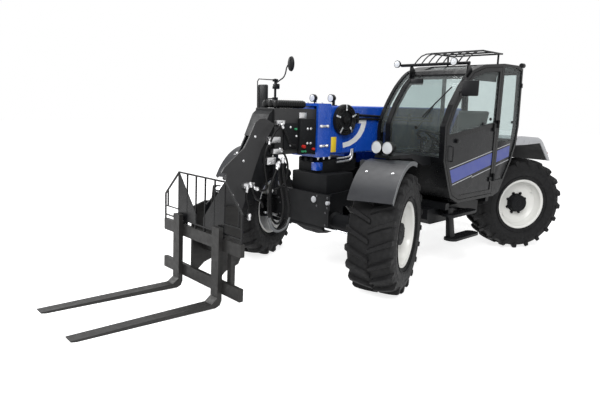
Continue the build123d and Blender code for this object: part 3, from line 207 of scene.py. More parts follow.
def glass(name, colour, transparency):
    """Thin tinted glass: see-through, with a clear reflection."""
    material, tree, shader = new_material(name)
    tree.nodes.remove(shader)
    clear = add_node(tree, "BsdfTransparent", values={"Color": (*colour, 1)})
    tint = {"Base Color": (*shaded(colour, 0.25), 1), "Roughness": 0.03}
    tinted = add_node(tree, "BsdfPrincipled", values=tint)
    edge = add_node(tree, "LayerWeight", values={"Blend": 0.1}).outputs["Facing"]
    spread = add_node(tree, "MapRange", edge, {"To Min": 1 - transparency, "To Max": 1.0})
    blend(tree, spread.outputs["Result"], clear.outputs["BSDF"], tinted.outputs["BSDF"])
    return material


def lens(name, colour):
    """A lamp's moulded lens with flutes."""
    material, tree, shader = new_material(name)
    put(shader, {"Base Color": (*colour, 1), "Roughness": 0.12, "Coat Weight": 0.6})
    flutes = add_node(tree, "TexWave", object_space(tree), {"Scale": 45})
    bump(tree, shader, flutes.outputs["Fac"], 0.35, 0.002)
    return material


def fabric(name, colour):
    """Woven seat cloth."""
    material, tree, shader = new_material(name)
    weave = add_node(tree, "TexVoronoi", object_space(tree), {"Scale": 420}).outputs["Distance"]
    stops = [(0.1, shaded(colour, 0.7)), (0.6, shaded(colour, 1.5))]
    ramp(tree, weave, stops, shader.inputs["Base Color"])
    put(shader, {"Roughness": 0.9, "Sheen Weight": 0.3})
    bump(tree, shader, weave, 0.5, 0.0008)
    return material


LOOKS = (
    paint("chassis_paint", (0.0062, 0.0066, 0.0075), 0.45, peel=0.2, specular=0.14),
    paint("boom_paint", (0.006, 0.062, 0.4), 0.26, coat=0.45),
    paint("hood_paint", (0.006, 0.062, 0.4), 0.26, coat=0.45),
    paint("head_grey", (0.034, 0.034, 0.035), 0.42, peel=0.2, specular=0.2),
    worn_fork("fork_steel", (0.02, 0.0195, 0.019)),
    paint("cab_paint", (0.004, 0.0042, 0.0048), 0.3, specular=0.16),
    paint("door_paint", (0.006, 0.0064, 0.0078), 0.32, specular=0.18),
    paint("rim_paint", (0.76, 0.76, 0.73), 0.38, coat=0.2, variation=0.04),
    cast("axle_iron", (0.0062, 0.0066, 0.0075)),
    cast("weight_iron", (0.012, 0.0125, 0.014), 0.5),
    cast("engine_iron", (0.028, 0.028, 0.03)),
    rubber("tyre_rubber", (0.0056, 0.0056, 0.006)),
    plastic("black_plastic", (0.0075, 0.0078, 0.0088), 0.4),
    lens("lamp_white", (0.6, 0.62, 0.64)),
    glass("tinted_glass", (0.93, 0.97, 0.967), 0.965),
    steel("mirror_glass", (0.78, 0.8, 0.83), 0.05),
    fabric("seat_fabric", (0.03, 0.036, 0.033)),
    steel("rod_chrome", (0.8, 0.81, 0.83), 0.12),
    steel("exhaust_steel", (0.28, 0.27, 0.26), 0.4),
)
# by slot; Blender numbers a name that the frame has already
MATERIALS = {look.name.split(".")[0]: look for look in LOOKS}
FENDER_GREY = paint("fender_grey", (0.017, 0.018, 0.021), 0.38, peel=0.2, specular=0.28)
ZINC = steel("zinc", (0.62, 0.62, 0.63), 0.32)
DARK_FASTENER = steel("dark_fastener", (0.1, 0.1, 0.105), 0.4)
HOSE = plastic("hose", (0.0065, 0.0065, 0.007), 0.38, 300)
# grey for the hose sheath, and also a painted highlight along the front fenders' outer edges
SHEATH_AND_HIGHLIGHT_GREY = plastic("sheath", (0.15, 0.155, 0.16), 0.55, 200)
WHITE_PAINT = paint("white_paint", (0.74, 0.75, 0.76), 0.35, variation=0.03)
SILVER_PAINT = paint("silver_paint", (0.42, 0.43, 0.45), 0.32, coat=0.2, variation=0.05)
STRIPE_BLUE = paint("stripe_blue", (0.026, 0.048, 0.29), 0.36, coat=0.05, variation=0.06)
SIGN_YELLOW = paint("sign_yellow", (0.78, 0.56, 0.03), 0.4, variation=0.04)
TAIL_RED = lens("tail_red", (0.42, 0.012, 0.01))
CAP_RED = plastic("cap_red", (0.42, 0.02, 0.015), 0.4)
CAP_GREEN = plastic("cap_green", (0.03, 0.22, 0.1), 0.4)


def repaint(name, material):
    """Give a CAD node one material."""
    materials = nodes[name].data.materials
    materials.clear()
    materials.append(material)


for entry in frame["record"]["subparts"]:
    if entry["node"] in nodes:
        repaint(entry["node"], MATERIALS[entry["material_slot"]])
repaint("boom_head", MATERIALS["chassis_paint"])

# ---------------------------------------------------------------- mesh helpers


def new_meshes(count):
    """Empty meshes."""
    return [bmesh.new() for _ in range(count)]


def placed(name, data):
    """An object in the scene."""
    thing = bpy.data.objects.new(name, data)
    bpy.context.scene.collection.objects.link(thing)
    return thing


def piece_from(bm, name, material, body, smooth=30.0):
    """Turn a bmesh into a piece that rides on a body; a material given by name is its slot too."""
    mesh = bpy.data.meshes.new(name)
    bm.normal_update()
    bm.to_mesh(mesh)
    bm.free()
    slot = material if isinstance(material, str) else None
    mesh.materials.append(MATERIALS[slot] if slot else material)
    piece = placed(name, mesh)
    if smooth:
        mesh.shade_smooth()
        mesh.set_sharp_from_angle(angle=radians(smooth))
    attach(piece, body)
    return piece


def skin(bm, rings, closed=True, capped=False):
    """Faces from each ring of points to the next, perhaps with both ends filled."""
    for first, second in zip(rings, rings[1:]):
        count = len(first)
        for k in range(count if closed else count - 1):
            n = (k + 1) % count
            bm.faces.new((first[k], first[n], second[n], second[k]))
    if capped:
        bm.faces.new(rings[0])
        bm.faces.new(reversed(rings[-1]))


def ring_points(radius, count):
    """Points round a circle."""
    return [(radius * cos(tau * k / count), radius * sin(tau * k / count)) for k in range(count)]


def lathe(bm, profile, steps=72, close=False, matrix=None):
    """Revolve (x, radius) points about the X axis; close joins the last point to the first."""
    rings = [[bm.verts.new((x, *point)) for point in ring_points(radius, steps)] for x, radius in profile]
    skin(bm, rings + rings[:1] if close else rings, capped=not close)
    if matrix:
        bmesh.ops.transform(bm, matrix=matrix, verts=[v for ring in rings for v in ring])


def rounded_profile(points, radius, steps=3):
    """A profile with its inner corners rounded; the first and last points stay."""
    out = [points[0]]
    for before, here, after in zip(points, points[1:], points[2:]):
        p, a, b = Vector(here), Vector(before), Vector(after)
        reach = min(radius, (a - p).length * 0.45, (b - p).length * 0.45)
        start, end = p + (a - p).normalized() * reach, p + (b - p).normalized() * reach
        for k in range(steps + 1):
            t = k / steps
            out.append(tuple(start.lerp(p, t).lerp(p.lerp(end, t), t)))
    out.append(points[-1])
    return out


def facing(place, direction):
    """A matrix at a place, with X along a direction."""
    turn = Vector(LEFT).rotation_difference(Vector(direction)).to_matrix().to_4x4()
    return Matrix.Translation(place) @ turn


def hex_head(bm, place, normal, width, height, washer=True):
    """A hexagon bolt head on a washer."""
    matrix = facing(place, normal)
    rise = height * 0.2
    if washer:
        lathe(bm, [(0, width * 0.95), (rise, width * 0.95)], 16, matrix=matrix)
    lathe(bm, [(rise, width * 0.56), (height * 0.85, width * 0.56), (height, width * 0.46)], 6, matrix=matrix)


def oriented(start, end):
    """A matrix with X along a line, at its start."""
    line = Vector(end) - Vector(start)
    turn = line.to_track_quat("X", "Z").to_matrix().to_4x4()
    return Matrix.Translation(start) @ turn, line.length


def box_into(bm, low, high, bevel=0.0, matrix=None):
    """A box, its edges bevelled."""
    made = bmesh.ops.create_cube(bm, size=1.0)["verts"]
    low, high = Vector(low), Vector(high)
    place = Matrix.Translation((low + high) / 2) @ Matrix.Diagonal((*(high - low), 1))
    bmesh.ops.transform(bm, matrix=place, verts=made)
    if bevel:
        edges = list({edge for vert in made for edge in vert.link_edges})
        result = bmesh.ops.bevel(bm, geom=edges, offset=bevel, segments=2, affect="EDGES", profile=0.5)
        made = list(
            {vert for face in result["faces"] for vert in face.verts} | {v for v in made if v.is_valid}
        )
    if matrix:
        bmesh.ops.transform(bm, matrix=matrix, verts=made)


def tube(name, points, radius, material, body, smooth=True):
    """A round tube through points."""
    curve = bpy.data.curves.new(name, "CURVE")
    curve.dimensions = "3D"
    curve.bevel_depth = radius
    curve.bevel_resolution = 4
    curve.resolution_u = 10
    curve.use_fill_caps = True
    spline = curve.splines.new("NURBS" if smooth else "POLY")
    spline.points.add(len(points) - 1)
    for point, place in zip(spline.points, points):
        point.co = (*place, 1)
    if smooth:
        spline.order_u = 3
        spline.use_endpoint_u = True
    curve.materials.append(material)
    piece = placed(name, curve)
    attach(piece, body)
    return piece


# ---------------------------------------------------------------- wheels

TYRE_PROFILE = [  # sideways from the tyre's middle, radius
    (-0.182, 0.314), (-0.193, 0.333), (-0.203, 0.35), (-0.222, 0.395), (-0.229, 0.44), (-0.228, 0.485),
    (-0.219, 0.53), (-0.203, 0.556), (-0.17, 0.567), (-0.09, 0.571), (0.0, 0.572),
]
TYRE_PROFILE += [(-u, radius) for u, radius in TYRE_PROFILE[-2::-1]]
LUG_TOP, TREAD_RADIUS = 0.606, 0.6


def casing_radius(u):
    """The casing's radius at a place across the tread or on the shoulder."""
    upper = [p for p in TYRE_PROFILE if p[0] >= 0 and p[1] > 0.48]
    u = abs(u)
    for (u0, r0), (u1, r1) in zip(upper, upper[1:]):
        if u0 <= u <= u1:
            return r0 + (r1 - r0) * (u - u0) / (u1 - u0)
    return upper[-1][1]


LUG_STATIONS = [  # across from the middle, round the tyre, half width at top, top radius
    (-0.006, -0.064, 0.014, 0.604), (0.006, -0.052, 0.019, LUG_TOP), (0.05, -0.03, 0.0195, LUG_TOP),
    (0.105, -0.003, 0.0205, 0.6055), (0.16, 0.022, 0.022, 0.603), (0.205, 0.041, 0.0235, 0.597),
    (0.2225, 0.046, 0.0245, 0.582), (0.2275, 0.048, 0.022, 0.545), (0.2285, 0.049, 0.016, 0.517),
]


def add_lug(bm, hand, angle):
    """One bar of the tread, swept outward and down over the shoulder."""
    rings = []
    for u, round_tyre, half, top in LUG_STATIONS:
        floor = casing_radius(min(abs(u), 0.2185)) - 0.012
        inset = 0.02 if abs(u) > 0.2 else 0.0
        ring = []
        flare = half + (top - floor) * 0.28
        for side, width, radius, shift in (
            (-1, flare, floor, -inset),
            (-1, half, top - 0.003, 0),
            (-1, half - 0.003, top, 0),
            (1, half - 0.003, top, 0),
            (1, half, top - 0.003, 0),
            (1, flare, floor, -inset),
        ):
            place = angle + (round_tyre + side * width) / TREAD_RADIUS
            across = hand * (u + shift)
            ring.append(bm.verts.new((TYRE_OFFSET + across, -radius * cos(place), radius * sin(place))))
        rings.append(ring)
    skin(bm, rings, closed=False, capped=True)


def tyre_mesh():
    """A radial tyre with chevron bars, in the wheel's frame."""
    bm = bmesh.new()
    inner = [(-u * 0.93, radius - 0.028) for u, radius in TYRE_PROFILE[1:-1]]
    inner = [(u, min(radius, 0.545)) for u, radius in inner]
    ring = [(TYRE_OFFSET + u, radius) for u, radius in TYRE_PROFILE]
    ring += [(TYRE_OFFSET + u, radius) for u, radius in inner]
    lathe(bm, ring, 120, close=True)
    for radius, width in ((0.372, 0.003), (0.47, 0.0025), (0.5, 0.0025)):
        for hand in (1, -1):
            u = next(a for (a, r) in reversed(TYRE_PROFILE) if r >= radius)
            low, high = TYRE_OFFSET + hand * (u - 0.006), TYRE_OFFSET + hand * (u + width)
            section = ((low, -0.006), (high, -0.002), (high, 0.002), (low, 0.006))
            lathe(bm, [(x, radius + rise) for x, rise in section], 120, close=True)
    pitch = tau / LUGS_PER_SIDE
    for hand, phase in ((1, 0.0), (-1, pitch / 2)):
        for k in range(LUGS_PER_SIDE):
            add_lug(bm, hand, k * pitch + phase)
    return bm


RIM_PROFILE = [  # from the kingpin outboard, radius; the visible dish, outside then inside
    (0.392, 0.3065), (0.3925, 0.326), (0.396, 0.3305), (0.4, 0.3295), (0.4015, 0.324), (0.398, 0.312),
    (0.39, 0.299), (0.344, 0.2965), (0.318, 0.276), (0.311, 0.2722), (0.303, 0.2705), (0.298, 0.265),
    (0.274, 0.236), (0.2705, 0.229), (0.27, 0.1105), (0.258, 0.1105), (0.258, 0.235), (0.288, 0.2708),
    (0.1, 0.2708), (0.062, 0.297), (0.006, 0.299), (-0.001, 0.31), (-0.004, 0.324), (0.002, 0.3305),
    (0.0075, 0.326), (0.009, 0.3065), (0.06, 0.3065), (0.095, 0.2805), (0.305, 0.2805), (0.34, 0.3065),
]


def rim_mesh():
    """A welded wheel with rolled flanges, a drop centre and a dished disc."""
    bm = bmesh.new()
    lathe(bm, RIM_PROFILE, 96, close=True)
    for k in range(2):
        angle = pi / 5 + k * pi
        place = Vector((0.282, 0.25 * cos(angle), 0.25 * sin(angle)))
        lathe(bm, [(0, 0.007), (0.045, 0.005), (0.05, 0.003)], 12, matrix=Matrix.Translation(place))
    return bm


HUB_PROFILE = [
    (0.0785, 0.0555), (0.0785, 0.128), (0.104, 0.138), (0.13, 0.14), (0.2565, 0.14), (0.2572, 0.11),
    (0.2703, 0.11), (0.2703, 0.1245), (0.283, 0.125), (0.287, 0.1215), (0.2885, 0.118), (0.338, 0.1125),
    (0.34, 0.109), (0.344, 0.1088), (0.346, 0.1115), (0.356, 0.1075), (0.359, 0.101), (0.359, 0.056),
    (0.3555, 0.052), (0.356, 0.03), (0.359, 0.027), (0.359, 0.001), (0.124, 0.001), (0.124, 0.0555),
]
FINGER_TIP, FINGER_HALF = 0.151, 0.0145


def add_finger(bm, angle):
    """One rounded finger of the hub's flange, with its nut."""
    reach = FINGER_TIP - FINGER_HALF
    outline = [(0.112, -FINGER_HALF)]
    for k in range(7):
        bend = -pi / 2 + k * pi / 6
        outline.append((reach + FINGER_HALF * cos(bend), FINGER_HALF * sin(bend)))
    outline.append((0.112, FINGER_HALF))
    turn = Matrix.Rotation(angle, 4, "X")
    rings = []
    for x, shrink in ((0.2703, 0.0), (0.285, 0.0), (0.2873, 0.0022)):
        ring = []
        for radius, aside in outline:
            inward = Vector((0, reach - 0.01 - radius, -aside)).normalized() * shrink
            ring.append(bm.verts.new(turn @ (Vector((x, radius, aside)) + inward)))
        rings.append(ring)
    skin(bm, rings, capped=True)
    hex_head(bm, turn @ Vector((0.2873, 0.1375, 0)), LEFT, 0.0205, 0.02)


def hub_mesh():
    """A planetary hub: drum behind the disc, fingered flange with its nuts, tapered cover."""
    bm = bmesh.new()
    lathe(bm, HUB_PROFILE, 72, close=True)
    for k in range(8):
        add_finger(bm, (k + 0.5) * tau / 8)
    for k in range(6):
        angle = (k + 0.5) * tau / 6
        hex_head(bm, (0.3585, 0.086 * cos(angle), 0.086 * sin(angle)), LEFT, 0.01, 0.007, False)
    return bm


for corner in CORNERS:
    for kind, build, slot_name, smooth in (
        ("tyre", tyre_mesh, "tyre_rubber", 34),
        ("rim", rim_mesh, "rim_paint", 40),
        ("hub", hub_mesh, "axle_iron", 34),
    ):
        bm = build()
        bmesh.ops.recalc_face_normals(bm, faces=bm.faces)
        bmesh.ops.transform(bm, matrix=corner_matrix(corner), verts=bm.verts)
        if CORNERS[corner] < 0:
            bmesh.ops.reverse_faces(bm, faces=bm.faces)
        wheel_piece = piece_from(bm, f"{kind}_{corner}_dressed", slot_name, f"wheel_{corner}", smooth)
        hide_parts(f"{kind}_{corner}")

# ---------------------------------------------------------------- seat

SEAT_SWELL = 0.022


def cushion(name, low, high, tilt=0.0, pivot=None):
    """A padded block puffed by a cloth simulation, its size kept by a cap on each point's move."""
    bm = bmesh.new()
    shrink = Vector((SEAT_SWELL,) * 3) * 0.6
    box_into(bm, Vector(low) + shrink, Vector(high) - shrink, 0.02)
    if tilt:
        about = Vector(pivot)
        turn = Matrix.Translation(about) @ Matrix.Rotation(tilt, 4, "X") @ Matrix.Translation(-about)
        bmesh.ops.transform(bm, matrix=turn, verts=bm.verts)
    piece = piece_from(bm, name, "seat_fabric", "chassis", 0)
    remesh = piece.modifiers.new("remesh", "REMESH")
    remesh.mode = "VOXEL"
    remesh.voxel_size = 0.014
    apply_modifiers(piece)
    puff(piece)
    soften = piece.modifiers.new("soften", "SUBSURF")
    soften.levels = soften.render_levels = 1
    piece.data.shade_smooth()
    return piece


def apply_modifiers(piece):
    """Bake a piece's modifiers into its mesh."""
    depsgraph = bpy.context.evaluated_depsgraph_get()
    mesh = bpy.data.meshes.new_from_object(piece.evaluated_get(depsgraph))
    old = piece.data
    piece.modifiers.clear()
    piece.data = mesh
    if not mesh.materials and old.materials:
        mesh.materials.append(old.materials[0])


def puff(piece):
    """Inflate a piece with cloth pressure, and cap each point's travel."""
    rest = [v.co.copy() for v in piece.data.vertices]
    cloth = piece.modifiers.new("cloth", "CLOTH")
    cloth.settings.use_pressure = True
    cloth.settings.uniform_pressure_force = 4.0
    cloth.settings.effector_weights.gravity = 0.0
    scene = bpy.context.scene
    for step in range(1, 15):
        scene.frame_set(step)
    apply_modifiers(piece)
    scene.frame_set(1)
    for vertex, start in zip(piece.data.vertices, rest):
        move = vertex.co - start
        if move.length > SEAT_SWELL:
            vertex.co = start + move.normalized() * SEAT_SWELL


seat_low, seat_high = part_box("seat_cushions")
cushion_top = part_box("seat_base")[1][2] + 0.11
seat = cushion("seat_cushion", seat_low, (seat_high[0], seat_high[1] - 0.12, cushion_top))
back_low = Vector((seat_low[0] + 0.01, seat_high[1] - 0.23, cushion_top + 0.004))
back = cushion(
    "seat_back", back_low, (seat_high[0] - 0.01, seat_high[1] - 0.125, seat_high[2] - 0.01), -0.2, back_low,
)
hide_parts("seat_cushions")

# ---------------------------------------------------------------- small parts


def plate(bm, outline, axis, low, high, bevel=0.0):
    """Extrude an outline between two places on an axis; its points are (y, z), (x, z) or (x, y)."""
    order = {"x": (2, 0, 1), "y": (0, 2, 1), "z": (0, 1, 2)}[axis]
    rings = []
    for level in (low, high):
        rings.append([bm.verts.new([(*point, level)[k] for k in order]) for point in outline])
    count = len(outline)
    faces = [bm.faces.new(rings[0]), bm.faces.new(reversed(rings[1]))]
    for k in range(count):
        n = (k + 1) % count
        faces.append(bm.faces.new((rings[0][k], rings[1][k], rings[1][n], rings[0][n])))
    bmesh.ops.recalc_face_normals(bm, faces=faces)
    if bevel:
        edges = list({edge for face in faces for edge in face.edges})
        bmesh.ops.bevel(bm, geom=edges, offset=bevel, segments=2, affect="EDGES", profile=0.5)


def at(x, y, z):
    """A place given by its Y back from the front axle."""
    return Vector((x, along(y), z))


def side_view(points, back=0.0):
    """(y, z) points measured back from the front axle, or from a place behind it."""
    return [(along(back + y), z) for y, z in points]


def block(bm, low, high, bevel=0.0):
    """A box between two places given as at() takes them."""
    box_into(bm, at(*low), at(*high), bevel)


def rod(bm, start, end, radius, steps=14):
    """A round bar between two places given as at() takes them, its ends chamfered."""
    matrix, length = oriented(at(*start), at(*end))
    edge = min(radius * 0.2, length * 0.2)
    profile = [(0, radius - edge), (edge, radius), (length - edge, radius), (length, radius - edge)]
    lathe(bm, profile, steps, matrix=matrix)


def made(name, bm, material, body, smooth=32.0, replaces=None):
    """Finish a bmesh as a piece, perhaps in place of a CAD node."""
    bmesh.ops.recalc_face_normals(bm, faces=bm.faces)
    piece = piece_from(bm, name, material, body, smooth)
    if replaces:
        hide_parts(replaces)
    return piece


def side_tube(name, x, points, radius, material, body):
    """A tube that lies at one place across, through (y, z) points."""
    tube(name, [at(x, y, z) for y, z in points], radius, material, body)


BLACK = MATERIALS["black_plastic"]
CHASSIS_BLACK = MATERIALS["chassis_paint"]

# ---------------------------------------------------------------- lamps

ROAD_LAMPS = [side * 0.85 + shift for side in (1, -1) for shift in (-0.068, 0.066)]
ROOF_LAMPS = (0.226, 0.964)
lamp_shells, lamp_glass, lamp_rings = new_meshes(3)
for x in ROAD_LAMPS:
    back = facing(at(x, 0.15, 1.446), FORWARD)
    shell = [
        (0.0, 0.024), (0.006, 0.034), (0.046, 0.044), (0.062, 0.06), (0.108, 0.064), (0.11, 0.06),
        (0.1, 0.057), (0.098, 0.02),
    ]
    lathe(lamp_shells, shell, 40, matrix=back)
    lathe(
        lamp_rings, [(0.107, 0.0605), (0.1105, 0.06), (0.1115, 0.056), (0.1085, 0.0545)], 40, close=True,
        matrix=back,
    )
    lathe(lamp_glass, [(0.099, 0.0565), (0.107, 0.056), (0.11, 0.04), (0.1115, 0.015)], 40, matrix=back)
    block(lamp_shells, (x - 0.014, 0.08, 1.3693), (x + 0.014, 0.12, 1.42), 0.004)
for x in ROOF_LAMPS:
    back = facing(at(x, 1.091, 2.33), FORWARD)
    lathe(
        lamp_shells,
        [(0.0, 0.022), (0.012, 0.032), (0.03, 0.04), (0.05, 0.042), (0.052, 0.038), (0.046, 0.036)], 32,
        matrix=back,
    )
    lathe(lamp_glass, [(0.046, 0.0365), (0.051, 0.036), (0.0535, 0.022), (0.054, 0.006)], 32, matrix=back)
    block(lamp_shells, (x - 0.009, 1.088, 2.311), (x + 0.009, 1.136, 2.329), 0.003)
tail_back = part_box("lamps")[1][1]
lamp_reds = bmesh.new()
for hand in (1, -1):
    low, high = sorted((hand * 0.33, hand * 0.42))
    box_into(lamp_shells, (low, tail_back - 0.022, 0.8), (high, tail_back - 0.006, 0.94), 0.004)
    for z_low, z_high in ((0.806, 0.868), (0.872, 0.934)):
        box_into(lamp_reds, (low + 0.006, tail_back - 0.008, z_low), (high - 0.006, tail_back, z_high), 0.003)
    red_low, red_high = sorted((hand * 1.0, hand * 1.062))
    block(lamp_reds, (red_low, 3.52, 1.218), (red_high, 3.556, 1.262), 0.006)
made("lamp_shells", lamp_shells, "black_plastic", "chassis", 40, "lamps")
made("lamp_glass", lamp_glass, "lamp_white", "chassis", 40)
made("lamp_rings", lamp_rings, ZINC, "chassis", 40)
made("lamp_reds", lamp_reds, TAIL_RED, "chassis", 40)

boom_shells, boom_glass = new_meshes(2)
for x in (-0.14, 0.14):
    back = facing(at(x, 0.1, 1.915), FORWARD)
    lathe(
        boom_shells,
        [(0.0, 0.018), (0.01, 0.028), (0.03, 0.04), (0.068, 0.042), (0.07, 0.038), (0.064, 0.036)], 32,
        matrix=back,
    )
    lathe(boom_glass, [(0.064, 0.0365), (0.069, 0.036), (0.0715, 0.022), (0.072, 0.006)], 32, matrix=back)
    block(boom_shells, (x - 0.01, 0.068, 1.8403), (x + 0.01, 0.096, 1.89), 0.003)
    block(boom_shells, (x - 0.03, 0.05, 1.8403), (x + 0.03, 0.11, 1.8463), 0.002)
made("boom_lamp_shells", boom_shells, "black_plastic", "boom", 40, "boom_lamps")
made("boom_lamp_glass", boom_glass, "lamp_white", "boom", 40)

# ---------------------------------------------------------------- mirrors

shells, faces = new_meshes(2)
block(shells, (-1.305, 0.186, 1.725), (-1.135, 0.23, 2.078), 0.016)
block(faces, (-1.293, 0.228, 1.738), (-1.147, 0.2325, 2.065), 0.002)
oval = Matrix.Translation(at(-0.69, 0.2, 2.312)) @ Matrix.Rotation(pi / 2, 4, "Z")
oval = oval @ Matrix.Diagonal((1, 0.56, 1, 1))
lathe(
    shells, [(-0.026, 0.03), (-0.022, 0.06), (-0.01, 0.082), (0.01, 0.088), (0.016, 0.084)], 40, matrix=oval,
)
lathe(faces, [(0.015, 0.083), (0.018, 0.08)], 40, matrix=oval)
made("mirror_shells", shells, "black_plastic", "chassis", 50, "mirrors")
made("mirror_faces", faces, "mirror_glass", "chassis", 30)
loop = [(-0.985, 1.667), (-1.265, 1.672), (-1.292, 1.7), (-1.292, 2.118), (-1.265, 2.146), (-0.985, 2.13)]
tube("mirror_loop", [at(x, 0.176, z) for x, z in loop], 0.0065, CHASSIS_BLACK, "chassis", False)
stalk = [
    (-0.97, 2.035), (-0.955, 2.08), (-0.88, 2.12), (-0.795, 2.155), (-0.76, 2.215), (-0.75, 2.275),
    (-0.715, 2.305),
]
tube("mirror_stalk", [at(x, 0.185, z) for x, z in stalk], 0.008, CHASSIS_BLACK, "chassis")
clamps = bmesh.new()
for z in (1.667, 1.905, 2.038, 2.125):
    block(clamps, (-0.994, 0.172, z - 0.016), (-0.946, 0.228, z + 0.016), 0.004)
    hex_head(clamps, at(-0.97, 0.172, z), FORWARD, 0.012, 0.008, False)
rod(clamps, (-0.963, 0.2, 1.89), (-0.82, 0.3, 1.42), 0.008)
rod(clamps, (-0.97, 0.2, 1.3702), (-0.97, 0.2, 2.145), 0.015)
block(clamps, (-1.0, 0.18, 2.02), (-0.925, 0.24, 2.085), 0.012)
rod(clamps, (-1.14, 0.205, 1.9), (-0.97, 0.2, 1.905), 0.009)
made("mirror_clamps", clamps, "chassis_paint", "chassis", 32, "mirror_stand")
cab_mirror, cab_mirror_face = new_meshes(2)
block(cab_mirror, (1.14, 0.941, 1.97), (1.325, 0.966, 2.128), 0.012)
rod(cab_mirror, (1.098, 0.985, 2.0), (1.16, 0.962, 2.048), 0.007)
block(cab_mirror, (1.088, 0.972, 1.976), (1.106, 0.998, 2.022), 0.004)
block(cab_mirror_face, (1.15, 0.965, 1.98), (1.315, 0.969, 2.118), 0.0015)
made("cab_mirror", cab_mirror, "black_plastic", "chassis", 40)
made("cab_mirror_face", cab_mirror_face, "mirror_glass", "chassis")

# ---------------------------------------------------------------- roof guard

RAIL_Z, RAIL_Y, GUARD_BACK_Y = 2.477, 1.5, 1.95
GUARD_X = (0.385, 1.04)
guard = bmesh.new()
for k in range(8):
    x = GUARD_X[0] + k * (GUARD_X[1] - GUARD_X[0]) / 7
    arch = [(1.15, 2.32), (1.225, 2.385), (1.29, 2.43), (1.39, 2.463), (RAIL_Y, RAIL_Z)]
    for (y0, z0), (y1, z1) in zip(arch, arch[1:]):
        rod(guard, (x, y0, z0), (x, y1, z1), 0.0075, 10)
rod(guard, (0.21, 1.15, 2.32), (1.095, 1.15, 2.32), 0.017, 20)
for y in (RAIL_Y, (RAIL_Y + GUARD_BACK_Y) / 2, GUARD_BACK_Y):
    block(
        guard, (GUARD_X[0] - 0.01, y - 0.009, RAIL_Z - 0.009), (GUARD_X[1] + 0.01, y + 0.009, RAIL_Z + 0.009),
        0.003,
    )
for x in GUARD_X:
    block(guard, (x - 0.008, RAIL_Y, RAIL_Z - 0.008), (x + 0.008, GUARD_BACK_Y, RAIL_Z + 0.008), 0.002)
    block(guard, (x - 0.009, GUARD_BACK_Y - 0.09, 2.352), (x + 0.009, GUARD_BACK_Y - 0.072, RAIL_Z), 0.002)
for x in (0.344, 1.07):
    plate(
        guard, side_view(((1.136, 2.32), (1.166, 2.322), (1.23, 2.258), (1.15, 2.19), (1.128, 2.175))), "x",
        x, x + 0.012, 0.001,
    )
made("roof_guard_dressed", guard, "cab_paint", "chassis", 40, "roof_guard")

# ---------------------------------------------------------------- rear fenders and steps

REAR_AXLE = 2.964  # behind the front one
fender_top = [
    (-0.504, 1.4), (-0.49, 1.452), (-0.464, 1.49), (-0.42, 1.506), (-0.344, 1.512), (0.156, 1.482),
    (0.25, 1.455), (0.321, 1.42), (0.48, 1.29), (0.636, 1.142),
]
fender_low = [
    (0.616, 1.142), (0.466, 1.282), (0.312, 1.408), (0.244, 1.442), (0.152, 1.468), (-0.344, 1.498),
    (-0.416, 1.492), (-0.454, 1.48), (-0.477, 1.448), (-0.49, 1.4),
]
lip_low = [(0.56, 1.142), (0.4, 1.27), (0.246, 1.402), (-0.224, 1.396), (-0.44, 1.4)]
# painted shade: a thin dark sheet just inside the silver shells' underside, darkening it where shade falls
# under the fender
shade_sheet_outline = fender_low + [(0.02 + (y - 0.02) * 0.978, 1.25 + (z - 1.25) * 0.978) for y, z in reversed(fender_low)]
shells, sides, shade_sheets = new_meshes(3)
web = [(-0.264, 1.49), (0.186, 1.466), (0.036, 1.262), (-0.164, 1.3)]
for hand in (1, -1):
    for bm, outline, inside, outside, bevel in (
        (shells, fender_top + fender_low, 0.3003, 1.08, 0.0),
        (shade_sheets, shade_sheet_outline, 0.313, 1.068, 0.0),
        (sides, fender_top + lip_low, 1.069, 1.081, 0.002),
        (sides, web, 0.3003, 0.312, 0.0),
    ):
        low, high = sorted((hand * inside, hand * outside))
        plate(bm, side_view(outline, REAR_AXLE), "x", low, high, bevel)
made("rear_fender_tops", shells, SILVER_PAINT, "chassis", 40, "rear_fenders")
made("rear_fender_sides", sides, SILVER_PAINT, "chassis")
# the dark sheet under each fender is painted shade
made("rear_fender_painted_shade", shade_sheets, "chassis_paint", "chassis")

STEP_Y = 1.295
steps = bmesh.new()
for z, x_low, x_high in ((0.655, 0.955, 1.115), (0.392, 1.0, 1.165)):
    half = (x_high - x_low) / 2
    middle = (x_low + x_high) / 2
    outer, inner = [], []
    for k in range(24):
        bend = tau * k / 24
        reach = 0.215 if cos(bend) >= 0 else -0.215
        for ring, radius in ((outer, half), (inner, half - 0.016)):
            ring.append((middle + radius * sin(bend), along(STEP_Y + reach + radius * cos(bend))))
    levels = ((outer, z), (outer, z + 0.026), (inner, z + 0.026), (inner, z))
    rings = [[steps.verts.new((*point, level)) for point in ring] for ring, level in levels]
    skin(steps, rings + rings[:1])
    for k in range(-4, 5):
        block(
            steps, (x_low + 0.006, STEP_Y + k * 0.056 - 0.004, z + 0.004),
            (x_high - 0.006, STEP_Y + k * 0.056 + 0.004, z + 0.024),
        )
    for x in (middle - 0.038, middle, middle + 0.038):
        block(steps, (x - 0.003, 1.02, z + 0.006), (x + 0.003, 1.57, z + 0.022))
hanger = [
    (0.9003, 0.735), (0.9003, 0.64), (0.985, 0.64), (1.005, 0.392), (1.075, 0.392), (1.06, 0.432),
    (1.01, 0.735),
]
plate(steps, hanger, "y", along(1.09), along(1.19), 0.004)
block(steps, (0.9003, 1.48, 0.655), (1.0, 1.52, 0.681), 0.003)
made("cab_steps_dressed", steps, "black_plastic", "chassis", 32, "cab_steps")

# ---------------------------------------------------------------- door and cab trim

DOOR_SKIN, POST_SKIN, STRIPE_Y = 1.092, 1.0925, 0.95


